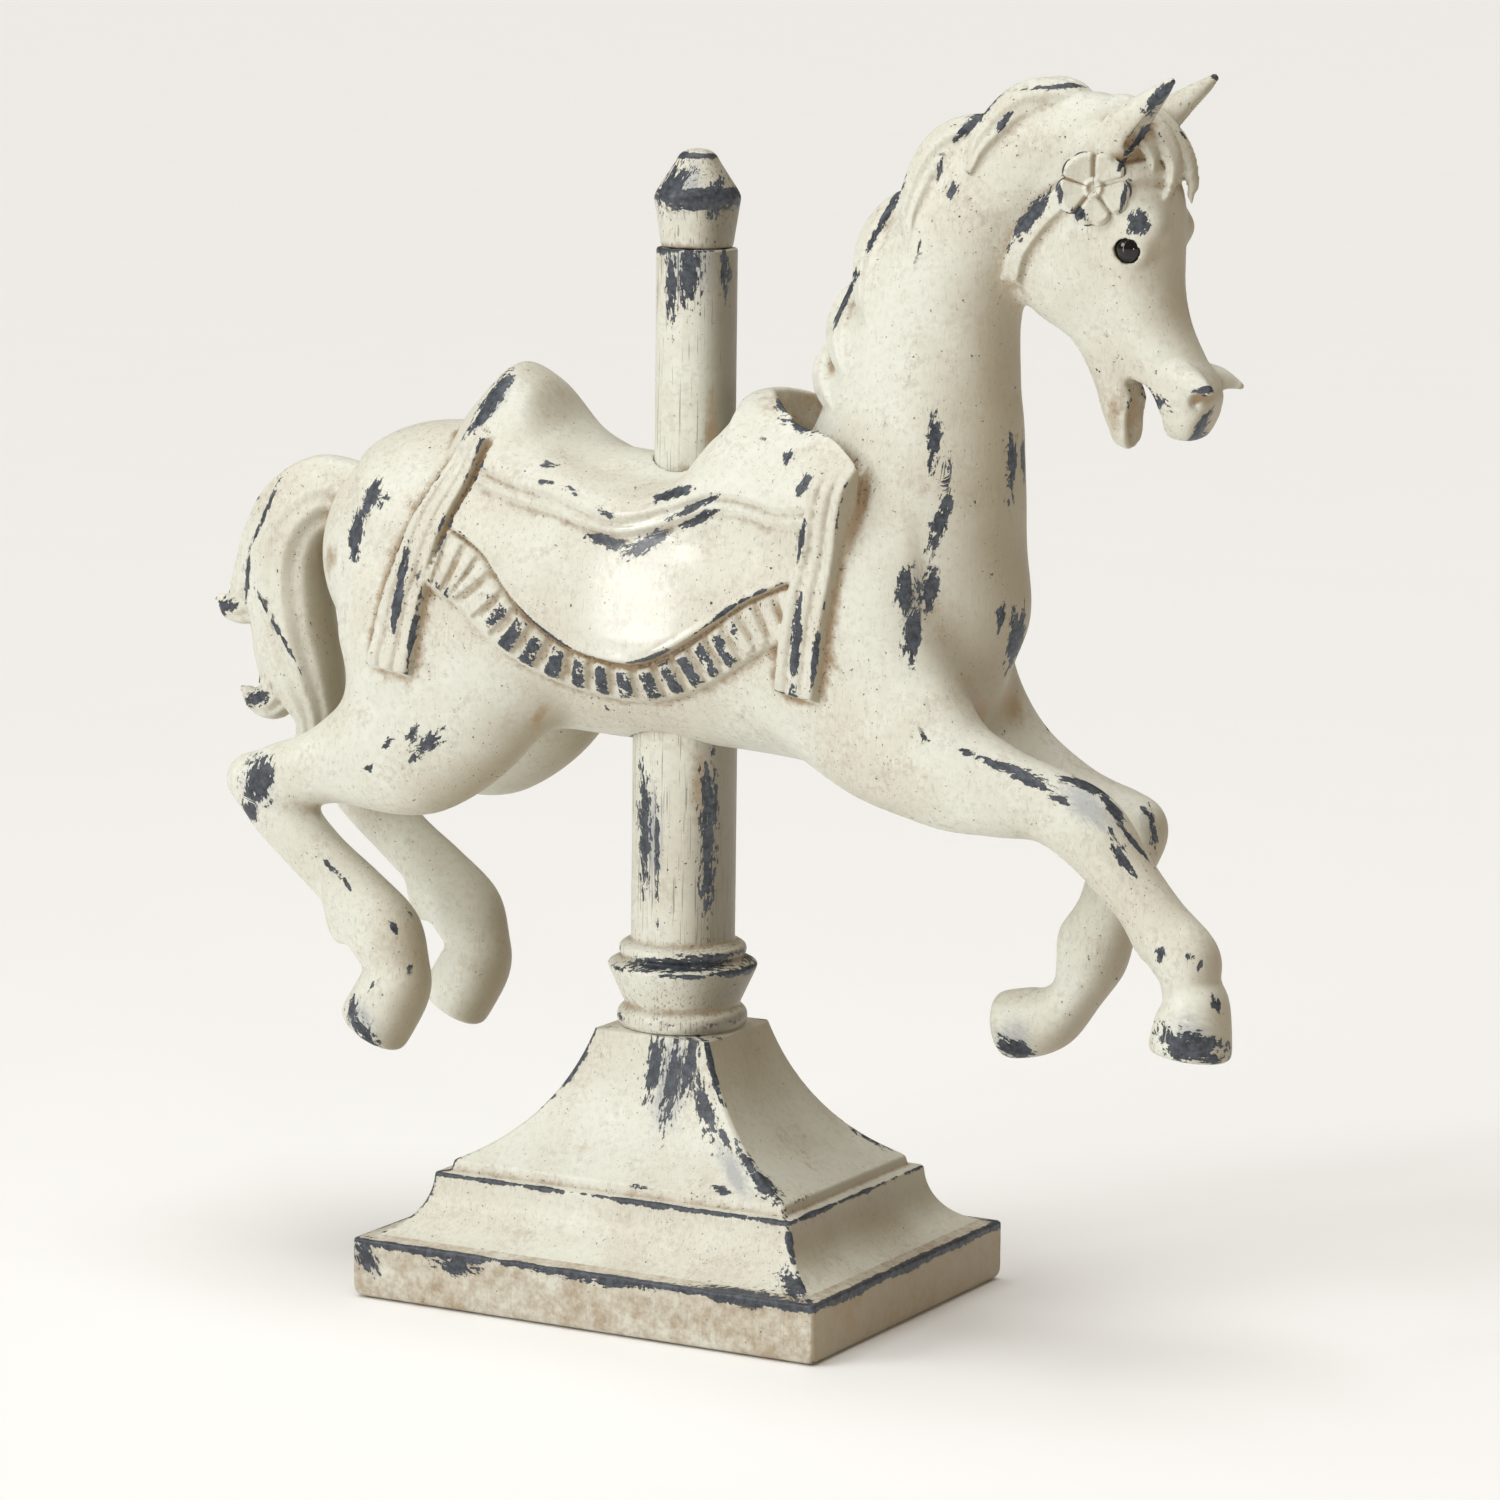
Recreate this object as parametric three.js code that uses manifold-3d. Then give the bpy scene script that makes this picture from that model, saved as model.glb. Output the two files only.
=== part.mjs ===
// Carousel horse ornament: a cast horse with saddle and trappings, carried by a turned column on a
// stepped base, with a turned post and finial standing in its saddle.
// Millimetres, +Z up, +X towards the horse's head, origin under the base on the column's axis.
import * as THREE from "three";
import { mergeVertices } from "three/addons/utils/BufferGeometryUtils.js";
import Module from "manifold-3d";

const wasm = await Module();
wasm.setup();

// Driving dimensions
const GAP = 0.3; // left between neighbouring pieces

const BASE = { length: 178, depth: 138, plinth: 20.6, covered: 42, foot: 45.8, height: 92.3, top: 44 };
const COVE_INSET = 20; // how far the cove draws in above the plinth
const LEDGE_INSET = 4.7; // from the cove's edge to the foot of the flared spire

const COLUMN = { radius: 17.7, ring: 22.2, neck: 19.5, flare: 25.5, bead: 21.2, top: 197 };
const POST = { x: 2.8, radius: 13.6, bottom: 276, top: 357 };
const FINIAL = { neck: 12, belly: 14.6, crown: 6.5, bellyHeight: 16.7, crownHeight: 30.2, height: 32.6 };

const LEG_Y = 28; // legs stand this far each side of the middle
const FAR_HIND = { back: 3, down: 2.1 }; // the left hind leg against the right one
const EYE = { x: 167.5, y: 11.8, z: 365, radius: 5 };
const ROSETTE = { x: 156, y: 16.5, z: 384, radius: 10.5, petals: 5, thickness: 1.6 };

const CLOTH_RISE = 2.6; // saddle flap above the horse's side
const STRAP_RISE = 3.4;
const FRINGE_RISE = 2.2;
const FRINGE_RIBS = 16;
const BRIDLE_RISE = 1.3;
const BROWBAND = { from: [160, 388], to: [190, 390], width: 7 };
const THROAT_LATCH = { from: [151, 384], to: [123, 352], width: 7.5 };
const MANE = { locks: 5, poll: 0.99, pitch: 0.1, length: 0.2 }; // shares of the neck's length
const REAR_STRAP = {
  front: [[-60, 292], [-63, 283], [-74, 260], [-78, 238], [-81, 212]],
  back: [[-66, 300], [-75, 282], [-88, 256], [-96, 230], [-99, 213]],
};
const FRONT_STRAP = {
  front: [[85, 296], [83, 288], [79, 270], [75, 245], [72, 216]],
  back: [[71, 296], [69, 286], [65, 266], [59, 240], [55, 216]],
};

// Stations of a limb: x, z, half-depth in the horse's own plane, half-width across, and, where it
// leaves the limb's own plane, how far it moves outwards.
const TORSO = [
  [-139, 241, 4, 4], [-128, 243, 24, 17], [-114, 247, 39, 26], [-92, 248, 46, 36.5], [-55, 242, 49, 41],
  [-20, 239, 49, 40.5], [15, 238, 48, 39.5], [50, 239, 51, 39], [76, 239, 52, 36], [94, 239, 46, 31],
  [109, 238, 31, 21], [120, 238, 9, 7],
];
const NECK = [
  [70, 232, 36, 28], [78, 255, 42, 31], [84, 278, 40, 29], [88, 300, 36, 26], [90, 320, 32.5, 23],
  [95, 345, 28, 20], [105, 368, 25, 18], [119, 384, 22, 16.5], [135, 394, 19, 15], [150, 397.5, 15, 12],
];
const SKULL = [
  [145, 404, 9, 9], [151, 393, 18, 14], [157, 378, 22.5, 16.5], [161, 363, 20, 15.5], [166, 348, 15.5, 13],
  [171.5, 336, 13, 10.5], [178, 325, 12, 9.5], [184, 316, 12, 10.5], [187.5, 309.5, 9.5, 9],
  [189.5, 305, 4, 5],
];
const LOWER_JAW = [
  [142, 351, 12, 9.5], [152, 338, 10, 8.5], [156.5, 325, 7.5, 7.5], [160.5, 313, 5.8, 7.5],
  [162, 304.5, 5.6, 7], [162.5, 299.5, 2.5, 4],
];
const HIND_THIGH = [
  [-76, 256, 14, 8, -12], [-77, 238, 34, 16, -8], [-76, 214, 40, 18.5, -4], [-93, 188, 30, 16.5, -1],
  [-123, 175.5, 14.5, 12.5], [-146, 168.5, 11.5, 11], [-157, 167, 8.5, 9.5], [-163, 168, 3.5, 5],
];
const HIND_SHANK = [
  [-160, 172, 4, 5], [-154, 166, 9.5, 9], [-142, 154, 11, 9], [-127, 141, 10.5, 8.5], [-113, 130, 11.5, 9],
  [-102, 118, 14, 10.5], [-97, 107, 12, 9.5], [-98, 99, 13, 11], [-107.5, 83, 13.2, 11.5],
];
const STRETCHED_FORELEG = [
  [54, 256, 14, 8, -14], [66, 236, 31, 15, -10], [86, 212, 31, 17, -5], [112, 195, 21, 15.5, -1],
  [132, 189, 15.5, 13.5], [150, 186, 12.5, 11.5], [165, 179, 13, 11], [178, 165, 10.8, 8.8],
  [190, 152, 10, 8.2], [200, 140, 11.8, 9.6], [201.6, 131.5, 9.4, 8.6], [203.3, 126, 11.8, 10.6],
  [202, 109, 14.4, 12],
];
const BENT_FOREARM = [
  [54, 256, 14, 8, -14], [66, 236, 31, 15, -10], [86, 208, 29, 17, -5], [108, 189, 19, 15.5, -2],
  [130, 177.5, 14, 12.5], [148, 171, 13, 11.5], [159, 169.5, 9.5, 9], [165.5, 169, 3, 4],
];
const BENT_SHANK = [
  [157, 179, 5, 6], [154, 170, 11, 10], [150, 155, 11, 8.8], [146, 141, 11, 8.8],
  [140.5, 125.5, 12.2, 10.2], [135, 112.5, 8.8, 8.8], [127.5, 104.5, 10.4, 10.2], [120, 101.5, 11.8, 11],
  [107.5, 99, 11.6, 11.4],
];
// Tufts of hair behind the fetlocks
const HIND_TUFT = [[-120, 135, 5, 6], [-117.5, 126, 8.5, 7], [-116, 118.5, 8, 6.5], [-115, 113.2, 6.5, 5.5]];
const STRETCHED_TUFT = [[182, 154, 5, 5.5], [187, 147, 6.5, 6.5], [190, 143, 6.5, 6], [191.5, 140.2, 5.5, 5]];
const BENT_TUFT = [[139, 140, 5, 5.5], [135, 133, 6.5, 6], [132, 128, 5, 5], [131, 126, 3.6, 4]];
const NOSTRIL_WING = [[185, 324, 4, 4], [190.5, 322.5, 4, 4, 1], [195.5, 320.6, 1.8, 2, 3.6]];
const EAR = [
  [158, 396, 6, 5], [164, 401.5, 7.6, 6, 0.6], [170.5, 408, 6.4, 5, 1.6], [177, 414, 4, 3.4, 2.8],
  [183.5, 420, 0.7, 0.8, 4],
];
const SEAT = [
  [-84, 279, 10, 18], [-79, 279, 25, 24], [-69, 278, 37, 28], [-59, 277, 34, 30], [-46, 275, 21, 33],
  [-27, 272, 12.5, 35], [-4, 270, 11, 36], [12, 271, 14, 35], [22, 273, 25, 34], [31, 274, 35, 33],
  [38, 275, 37.5, 33], [52, 275, 37, 34], [64, 274, 37, 36], [78, 272, 34, 36], [90, 270, 26, 36],
];
// The pommel's rim from above, as x and distance outwards: it sweeps forwards on both sides of the withers
const POMMEL_RIM = [[39, 0], [42, 10], [54, 20], [69, 28], [83, 36], [92, 42]];
const FORELOCK = [
  [152, 408, 4, 7], [163, 406, 5, 8], [173, 398, 5, 7.5], [178.5, 389, 4, 6], [178, 380, 1, 1.5],
];
const TAIL = [
  [
    [-118, 262, 9, 8], [-138, 265, 12, 11], [-153, 255, 14.5, 12.5], [-159, 238, 16, 13],
    [-157, 218, 16, 13],
    [-151, 200, 14, 12], [-146, 184, 9.5, 9], [-152, 169, 7, 7], [-163, 155, 5, 5], [-173, 143, 0.8, 1],
  ],
  [
    [-126, 270, 6, 6], [-146, 272, 6.5, 7], [-162, 262, 7, 8], [-170, 247, 7.5, 8], [-173, 234, 8, 8],
    [-176, 225.5, 8, 7], [-183, 222, 5, 5], [-191, 224, 1, 1],
  ],
  [
    [-150, 264, 5, 6, 3], [-165, 245, 7, 8, 4], [-169, 227, 7, 8, 4], [-167, 209, 8, 8, 3],
    [-165, 198, 8.5, 7, 2], [-167, 191.5, 6.5, 6, 1], [-173, 190, 4, 4], [-179, 192, 1, 1],
  ],
  [
    [-140, 262, 5, 6, -5], [-150, 240, 6, 7, -8], [-148, 218, 6.5, 7, -9], [-141, 203, 6.5, 7, -8],
    [-137, 192, 4, 5, -6],
    [-139, 184, 0.8, 1, -4],
  ],
  [
    [-155, 250, 5, 6, -6], [-160, 228, 6, 7, -9], [-157, 208, 6, 7, -9], [-155, 195, 5, 6, -7],
    [-160, 187, 3.5, 4, -5],
    [-170, 184, 0.8, 1, -3],
  ],
];

// Geometry helpers

// Skins a row of equal rings, each listed anticlockwise about the way the row runs, and caps both ends.
function skin(rings) {
  const sides = rings[0].length;
  const vertices = rings.flat();
  const index = [];
  for (let i = 0; i + 1 < rings.length; i++)
    for (let j = 0; j < sides; j++) {
      const a = i * sides + j;
      const b = i * sides + ((j + 1) % sides);
      index.push(a, b, b + sides, a, b + sides, a + sides);
    }
  const cap = (ring, first, flip) => {
    const hub = vertices.length;
    vertices.push(ring.reduce((sum, p) => sum.add(p), new THREE.Vector3()).divideScalar(sides));
    for (let j = 0; j < sides; j++) {
      const [a, b] = [first + j, first + ((j + 1) % sides)];
      index.push(hub, flip ? b : a, flip ? a : b);
    }
  };
  cap(rings[0], 0, true);
  cap(rings.at(-1), (rings.length - 1) * sides, false);
  return new THREE.BufferGeometry().setFromPoints(vertices).setIndex(index);
}

// Smooth curves through a limb's stations: its centre line, and its half-depth and half-width.
function spine(stations, side, y) {
  const centres = stations.map(([x, z, , , out = 0]) => new THREE.Vector3(x, side * (y + out), z));
  const sizes = stations.map(([, , depth, width]) => new THREE.Vector3(depth, width, 0));
  return { centre: new THREE.CatmullRomCurve3(centres), size: new THREE.CatmullRomCurve3(sizes) };
}

// A limb: elliptical rings along its spine.
function limb(stations, { side = 1, y = 0, grow = 0, sides = 10 } = {}) {
  const { centre, size } = spine(stations, side, y);
  const count = stations.length - 1;
  const rings = [];
  for (let i = 0; i <= count; i++) {
    const along = centre.getTangent(i / count);
    const across = new THREE.Vector3(0, 1, 0).addScaledVector(along, -along.y).normalize();
    const outward = new THREE.Vector3().crossVectors(along, across);
    const { x: depth, y: width } = size.getPoint(i / count);
    const ring = [];
    for (let j = 0; j < sides; j++) {
      const turn = (2 * Math.PI * j) / sides;
      ring.push(
        centre
          .getPoint(i / count)
          .addScaledVector(across, (width + grow) * Math.cos(turn))
          .addScaledVector(outward, (depth + grow) * Math.sin(turn)),
      );
    }
    rings.push(ring);
  }
  return solid(skin(rings));
}

// A closed geometry as a solid that can be joined and cut.
function solid(geometry) {
  const bare = new THREE.BufferGeometry().setAttribute("position", geometry.getAttribute("position"));
  bare.setIndex(geometry.index);
  const merged = mergeVertices(bare, 1e-3);
  return new wasm.Manifold(
    new wasm.Mesh({
      numProp: 3,
      vertProperties: merged.attributes.position.array,
      triVerts: new Uint32Array(merged.index.array),
    }),
  );
}

const join = (solids) => solids.reduce((sum, next) => sum.add(next));
const bothSides = (make) => join([make(-1), make(1)]);

// A geometry from a solid.
function geometryOf(manifold) {
  const mesh = manifold.getMesh();
  return new THREE.BufferGeometry()
    .setAttribute("position", new THREE.BufferAttribute(mesh.vertProperties, 3))
    .setIndex(new THREE.BufferAttribute(mesh.triVerts, 1))
    .toNonIndexed();
}

// An ellipsoid from its centre and three half-sizes.
function ball([x, y, z], [rx, ry, rz], across, down) {
  return new THREE.SphereGeometry(1, across, down).rotateX(Math.PI / 2).scale(rx, ry, rz).translate(x, y, z);
}

// A lathe about the Z axis from a path of radius and height.
function turned(path, segments) {
  return new THREE.LatheGeometry(path.getPoints(3), segments).rotateX(Math.PI / 2);
}

// Outlines in the horse's side view, extruded across it from one y to another.
function sideways(shapes, from, to) {
  const geometry = new THREE.ExtrudeGeometry(shapes, { depth: to - from, bevelEnabled: false });
  return solid(geometry.rotateX(Math.PI / 2).translate(0, to, 0));
}

// Stepped base: rectangles stacked into a plinth, a cove, a ledge and a flared spire
function baseGeometry() {
  const { length, depth, plinth, covered, foot, height, top } = BASE;
  const rectangle = (halfX, halfY, z) =>
    [[-1, -1], [1, -1], [1, 1], [-1, 1]].map(([i, j]) => new THREE.Vector3(i * halfX, j * halfY, z));
  const levels = [rectangle(length / 2, depth / 2, 0), rectangle(length / 2, depth / 2, plinth)];
  const coveSteps = 5;
  for (let i = 1; i <= coveSteps; i++) {
    const turn = (Math.PI / 2) * (i / coveSteps);
    const inset = COVE_INSET * Math.sin(turn);
    const z = plinth + (covered - plinth) * (1 - Math.cos(turn));
    levels.push(rectangle(length / 2 - inset, depth / 2 - inset, z));
  }
  const ledge = [length / 2 - COVE_INSET - LEDGE_INSET, depth / 2 - COVE_INSET - LEDGE_INSET];
  levels.push(rectangle(ledge[0] + 1, ledge[1] + 1, covered + 0.4));
  const flare = new THREE.QuadraticBezierCurve(
    new THREE.Vector2(0, 0), new THREE.Vector2(0.72, 0.28), new THREE.Vector2(1, 1));
  for (const { x: run, y: rise } of flare.getPoints(9))
    levels.push(
      rectangle(
        THREE.MathUtils.lerp(ledge[0], top / 2, run),
        THREE.MathUtils.lerp(ledge[1], top / 2, run),
        THREE.MathUtils.lerp(foot, height, rise),
      ),
    );
  return skin(levels);
}

// Turned column: ring, flared cup, bead and shaft
function columnGeometry() {
  const { radius, ring, neck, flare, bead, top } = COLUMN;
  const foot = BASE.height + GAP;
  const path = new THREE.Path();
  path.moveTo(0, foot).lineTo(ring - 1.2, foot);
  path.quadraticCurveTo(ring + 1, foot + 3.5, ring - 1.6, foot + 6.6);
  path.lineTo(neck, foot + 7.6).lineTo(flare - 0.3, foot + 20);
  path.quadraticCurveTo(flare + 0.6, foot + 21.8, flare - 1.2, foot + 22.4);
  path.lineTo(bead - 0.8, foot + 23.8);
  path.quadraticCurveTo(bead + 1.4, foot + 26.6, bead - 1.8, foot + 29.2);
  path.lineTo(radius, foot + 29.6).lineTo(radius, top).lineTo(0, top);
  return turned(path, 24);
}

// Post in the saddle, and the finial on it
function postGeometry() {
  return rod(POST.radius, POST.x, POST.bottom, POST.top);
}

function finialGeometry() {
  const { neck, belly, crown, bellyHeight, crownHeight, height } = FINIAL;
  const path = new THREE.Path();
  path.moveTo(0, 0).lineTo(neck, 0).lineTo(belly - 0.3, bellyHeight - 2);
  path.quadraticCurveTo(belly + 0.3, bellyHeight, belly - 0.9, bellyHeight + 2);
  path.lineTo(crown + 1, crownHeight - 2);
  path.quadraticCurveTo(crown - 0.8, height, 0, height);
  return turned(path, 20).translate(POST.x, 0, POST.top + GAP);
}

// The horse's plain body, thickened all over by grow where trappings lie on it
function trunk(grow = 0) {
  return join([
    limb(TORSO, { grow, sides: 18 }),
    limb(NECK, { grow, sides: 14 }),
    bothSides((side) => limb(hindLeg(HIND_THIGH, side), { side, y: LEG_Y, grow })),
    limb(STRETCHED_FORELEG, { side: -1, y: LEG_Y, grow }),
    limb(BENT_FOREARM, { side: 1, y: LEG_Y, grow }),
  ]);
}

function hindLeg(stations, side) {
  const { back, down } = side > 0 ? FAR_HIND : { back: 0, down: 0 };
  return stations.map(([x, z, ...sizes]) => [x - back, z - down, ...sizes]);
}

function shanks() {
  const hind = (stations, sides) =>
    bothSides((side) => limb(hindLeg(stations, side), { side, y: LEG_Y, sides }));
  return [
    hind(HIND_SHANK, 10),
    hind(HIND_TUFT, 8),
    limb(BENT_SHANK, { side: 1, y: LEG_Y }),
    limb(BENT_TUFT, { side: 1, y: LEG_Y, sides: 8 }),
    limb(STRETCHED_TUFT, { side: -1, y: LEG_Y, sides: 8 }),
  ];
}

function plainHead(grow = 0) {
  return join([
    limb(SKULL, { grow, sides: 12 }),
    solid(ball([142, 0, 360], [21 + grow, 13.5 + grow, 22 + grow], 12, 8)),
    limb(LOWER_JAW, { grow, sides: 8 }),
  ]);
}

// Ears hollowed on their front
function ear(side) {
  const inner = ([x, z, depth, width, out]) => [x + 4, z - 2.5, depth * 0.62, width * 0.7, out];
  const hollow = EAR.slice(1).map(inner);
  return limb(EAR, { side, y: 12.5, sides: 8 }).subtract(limb(hollow, { side, y: 13, sides: 6 }));
}

// Locks of the mane: one row of swept lumps along the crest on each side
function mane(side) {
  const { centre, size } = spine(NECK, 1, 0);
  const onCrest = (u, lift, out) => {
    const along = centre.getTangent(u);
    const { x, z } = centre.getPoint(u);
    const reach = size.getPoint(u).x + lift;
    return [x - along.z * reach, z + along.x * reach, out];
  };
  const locks = [];
  for (let i = 0; i < MANE.locks; i++) {
    const start = MANE.poll - i * MANE.pitch;
    const rows = [[0, -3, 2, 3, 2], [0.3, -2.5, 5.5, 6, 4], [0.62, -5, 6, 6, 9], [1, -16, 0.8, 1, 15]];
    const stations = rows.map(([run, lift, depth, width, out]) => {
      const [x, z, y] = onCrest(start - run * MANE.length, lift, out);
      return [x, z, depth, width, y];
    });
    locks.push(limb(stations, { side, sides: 6 }));
  }
  return join(locks);
}

// Trappings that lie on the horse's sides, drawn in the side view
function flapEdge() {
  const edge = new THREE.Path().moveTo(-72, 261);
  return edge.bezierCurveTo(-48, 258, -42, 222, -3, 221).bezierCurveTo(25, 221, 35, 247, 60, 253);
}

function fringeEdge() {
  const edge = new THREE.Path().moveTo(-75, 240);
  return edge.bezierCurveTo(-52, 226, -35, 207, -2, 207).bezierCurveTo(28, 207, 38, 226, 56, 235);
}

function between(upper, lower) {
  return new THREE.Shape([...upper, ...lower.slice().reverse()]);
}

function flap() {
  return between([new THREE.Vector2(-60, 284), new THREE.Vector2(66, 284)], flapEdge().getPoints(5));
}

function fringeRibs() {
  const [upper, lower] = [flapEdge(), fringeEdge()];
  const ribs = [];
  for (let i = 0; i < FRINGE_RIBS; i++) {
    const [a, b] = [(i + 0.14) / FRINGE_RIBS, (i + 0.86) / FRINGE_RIBS];
    const [top, bottom] = [[a, b].map((s) => upper.getPointAt(s)), [a, b].map((s) => lower.getPointAt(s))];
    ribs.push(between(top.map((p, k) => p.lerp(bottom[k], 0.06)), bottom));
  }
  return ribs;
}

// Three rounded bands side by side between a strap's two edges
function strapBands({ front, back }) {
  const curve = (points) => new THREE.SplineCurve(points.map((p) => new THREE.Vector2(...p)));
  const [rows, last] = [curve(back).getPoints(2), curve(front).getPoints(2)];
  const bands = [];
  for (let i = 0; i < 3; i++) {
    const line = (share) => rows.map((p, k) => p.clone().lerp(last[k], share));
    bands.push(between(line((i + 0.06) / 3), line((i + 0.94) / 3)));
  }
  return bands;
}

function ribbon(from, to, width) {
  const [a, b] = [new THREE.Vector2(...from), new THREE.Vector2(...to)];
  const half = b.clone().sub(a).rotateAround(new THREE.Vector2(), Math.PI / 2).setLength(width / 2);
  return between([a.clone().add(half), b.clone().add(half)], [a.clone().sub(half), b.clone().sub(half)]);
}

function trappings() {
  const reach = 70;
  const onTrunk = (shapes, rise) => sideways(shapes, -reach, reach).intersect(trunk(rise));
  const ribbons = [BROWBAND, THROAT_LATCH].map(({ from, to, width }) => ribbon(from, to, width));
  return join([
    onTrunk(flap(), CLOTH_RISE),
    onTrunk(fringeRibs(), FRINGE_RISE),
    onTrunk([...strapBands(REAR_STRAP), ...strapBands(FRONT_STRAP)], STRAP_RISE),
    sideways(ribbons, -reach, reach).intersect(plainHead(BRIDLE_RISE).add(limb(NECK, { grow: BRIDLE_RISE }))),
  ]);
}

// The seat from cantle to pommel, open in front of the pommel's rim
function seat() {
  const front = 110;
  const rim = (side) => POMMEL_RIM.map(([x, y]) => new THREE.Vector2(x, side * y));
  const corners = [1, -1].map((side) => new THREE.Vector2(front, side * POMMEL_RIM.at(-1)[1]));
  const opening = new THREE.Shape([...rim(1), ...corners, ...rim(-1).slice(1).reverse()]);
  const cutter = new THREE.ExtrudeGeometry(opening, { depth: 70, bevelEnabled: false }).translate(0, 0, 264);
  return limb(SEAT, { sides: 14 }).subtract(solid(cutter));
}

// Flower at the side of the bridle: lobed petals about a round centre
function rosette(side) {
  const { x, y, z, radius, petals, thickness } = ROSETTE;
  const outline = [];
  const points = petals * 4;
  for (let i = 0; i < points; i++) {
    const turn = (2 * Math.PI * i) / points;
    const reach = radius * (0.82 + 0.18 * Math.cos(petals * turn));
    outline.push(new THREE.Vector2(x + reach * Math.cos(turn), z + reach * Math.sin(turn)));
  }
  const [from, to] = side > 0 ? [y - 8, y + thickness] : [-y - thickness, 8 - y];
  const heart = solid(ball([x, side * (y + thickness), z], [3.4, 2.4, 3.4], 8, 6));
  return sideways(new THREE.Shape(outline), from, to).add(heart);
}

function nostril(side) {
  return limb(NOSTRIL_WING, { side, y: 8, sides: 6 });
}

// A bead of the eye, or its socket when grown by the gap
function eyeBall(side, grow = 0) {
  const radius = EYE.radius + grow;
  return ball([EYE.x, side * EYE.y, EYE.z], [radius, radius, radius], 12, 8);
}

function rod(radius, x, low, high) {
  const cylinder = new THREE.CylinderGeometry(radius, radius, high - low, 24).rotateX(Math.PI / 2);
  return cylinder.translate(x, 0, (low + high) / 2);
}

// What is taken out of the horse: sockets for the column, the post and the eyes, and the nostrils
function hollows() {
  return join([
    solid(rod(COLUMN.radius + GAP, 0, COLUMN.top - 60, COLUMN.top + GAP)),
    solid(rod(POST.radius + GAP, POST.x, POST.bottom - GAP, POST.top)),
    bothSides((side) => solid(eyeBall(side, GAP))),
    bothSides((side) => solid(ball([192.5, side * 11, 317], [3.6, 3, 2.2], 6, 4))),
  ]);
}

function horse() {
  const parts = [trunk(), ...shanks(), plainHead(), bothSides(ear), bothSides(mane), trappings()];
  parts.push(seat(), limb(FORELOCK, { sides: 6 }), bothSides(rosette), bothSides(nostril));
  parts.push(...TAIL.map((lock) => limb(lock, { sides: 7 })));
  return join(parts).subtract(hollows());
}

// Scene graph
const cream = (name, geometry) => {
  const paint = new THREE.MeshStandardMaterial({ color: 0xe3ddca, roughness: 0.62, metalness: 0 });
  const mesh = new THREE.Mesh(geometry, paint);
  mesh.name = name;
  return mesh;
};

const eye = (name, side) => {
  const black = new THREE.MeshStandardMaterial({ color: 0x0a0a0b, roughness: 0.12, metalness: 0 });
  const mesh = new THREE.Mesh(eyeBall(side), black);
  mesh.name = name;
  return mesh;
};

const ornament = new THREE.Group();
ornament.add(cream("base", baseGeometry()));
ornament.add(cream("column", columnGeometry()));
ornament.add(cream("horse", geometryOf(horse())));
ornament.add(cream("post", postGeometry()));
ornament.add(cream("finial", finialGeometry()));
ornament.add(eye("eye_right", -1));
ornament.add(eye("eye_left", 1));

export default ornament;
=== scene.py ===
"""Looks of the carousel horse ornament: a cast horse in rubbed cream paint on a turned column and base."""

import math

import bpy
import numpy as np
import openvdb
from mathutils import Matrix, Vector
from mathutils.bvhtree import BVHTree


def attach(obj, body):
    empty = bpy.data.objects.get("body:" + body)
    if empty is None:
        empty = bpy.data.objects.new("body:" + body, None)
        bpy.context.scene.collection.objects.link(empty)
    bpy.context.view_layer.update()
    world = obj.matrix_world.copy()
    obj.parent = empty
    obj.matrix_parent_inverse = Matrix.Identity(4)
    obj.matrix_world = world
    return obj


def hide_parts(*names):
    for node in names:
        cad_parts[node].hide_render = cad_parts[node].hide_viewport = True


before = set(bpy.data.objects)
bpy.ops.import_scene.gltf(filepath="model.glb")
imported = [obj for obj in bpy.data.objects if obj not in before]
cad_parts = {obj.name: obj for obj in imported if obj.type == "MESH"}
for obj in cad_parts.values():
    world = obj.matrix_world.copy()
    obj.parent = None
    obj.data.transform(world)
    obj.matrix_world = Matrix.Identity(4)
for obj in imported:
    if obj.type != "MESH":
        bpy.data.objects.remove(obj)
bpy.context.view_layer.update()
scene = bpy.context.scene

# Sizes in millimetres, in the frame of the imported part; meshes are scaled to metres as they are made
MM = 0.001

# The horse is a field of distances on a grid; its mesh is thinned to a number of triangles
GRID = 0.8
GRID_LOW = (-198, -52, 70)
GRID_HIGH = (223, 52, 426)
FAR_AWAY = 40
SOFTENING = 6
HORSE_TRIANGLES = 190000
NORMAL_STEP = 0.6
EDGE_REACH = 1.8
EDGE_BULGE = 0.9
CREASE_REACH = 4.5
CREASE_BULGE = 1.6

# Base, column, post and finial
PIECE_GAP = 0.3
BASE_LENGTH = 178
BASE_DEPTH = 138
PLINTH_TOP = 20.6
COVE_INSET = 20
COVE_TOP = 42
COVE_STEPS = 12
LEDGE_INSET = 4.7
SPIRE_FOOT = 45.8
SPIRE_TOP = 92.3
SPIRE_WIDTH = 44
SPIRE_BEND = (0.72, 0.28)
SPIRE_STEPS = 24
HIP_RADIUS = 1.2
BASE_STEP = 0.6
# Points along one side of a ring, crowded towards its corners
SIDE_PARTS = 70
SIDE_CROWDING = 1.6
# Rounded foot of the plinth: inset and height
PLINTH_FOOT = [(5, 0), (2.4, 0.3), (0.7, 1), (0, 3.4)]
# Wear of the base's upright corners, on the plinth below this height and above it
CORNER_CHANGE = 19
PLINTH_CORNER_WEAR = 0.8
SPIRE_CORNER_WEAR = 1.15
COLUMN_RADIUS = 17.7
COLUMN_FOOT = SPIRE_TOP + PIECE_GAP
COLUMN_TOP = 197
POST_X = 2.8
POST_RADIUS = 13.6
POST_BOTTOM = 276
POST_TOP = 357
FINIAL_FOOT = POST_TOP + PIECE_GAP
ROUND_PARTS = 120
ARRIS_REACH = 2.2
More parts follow.
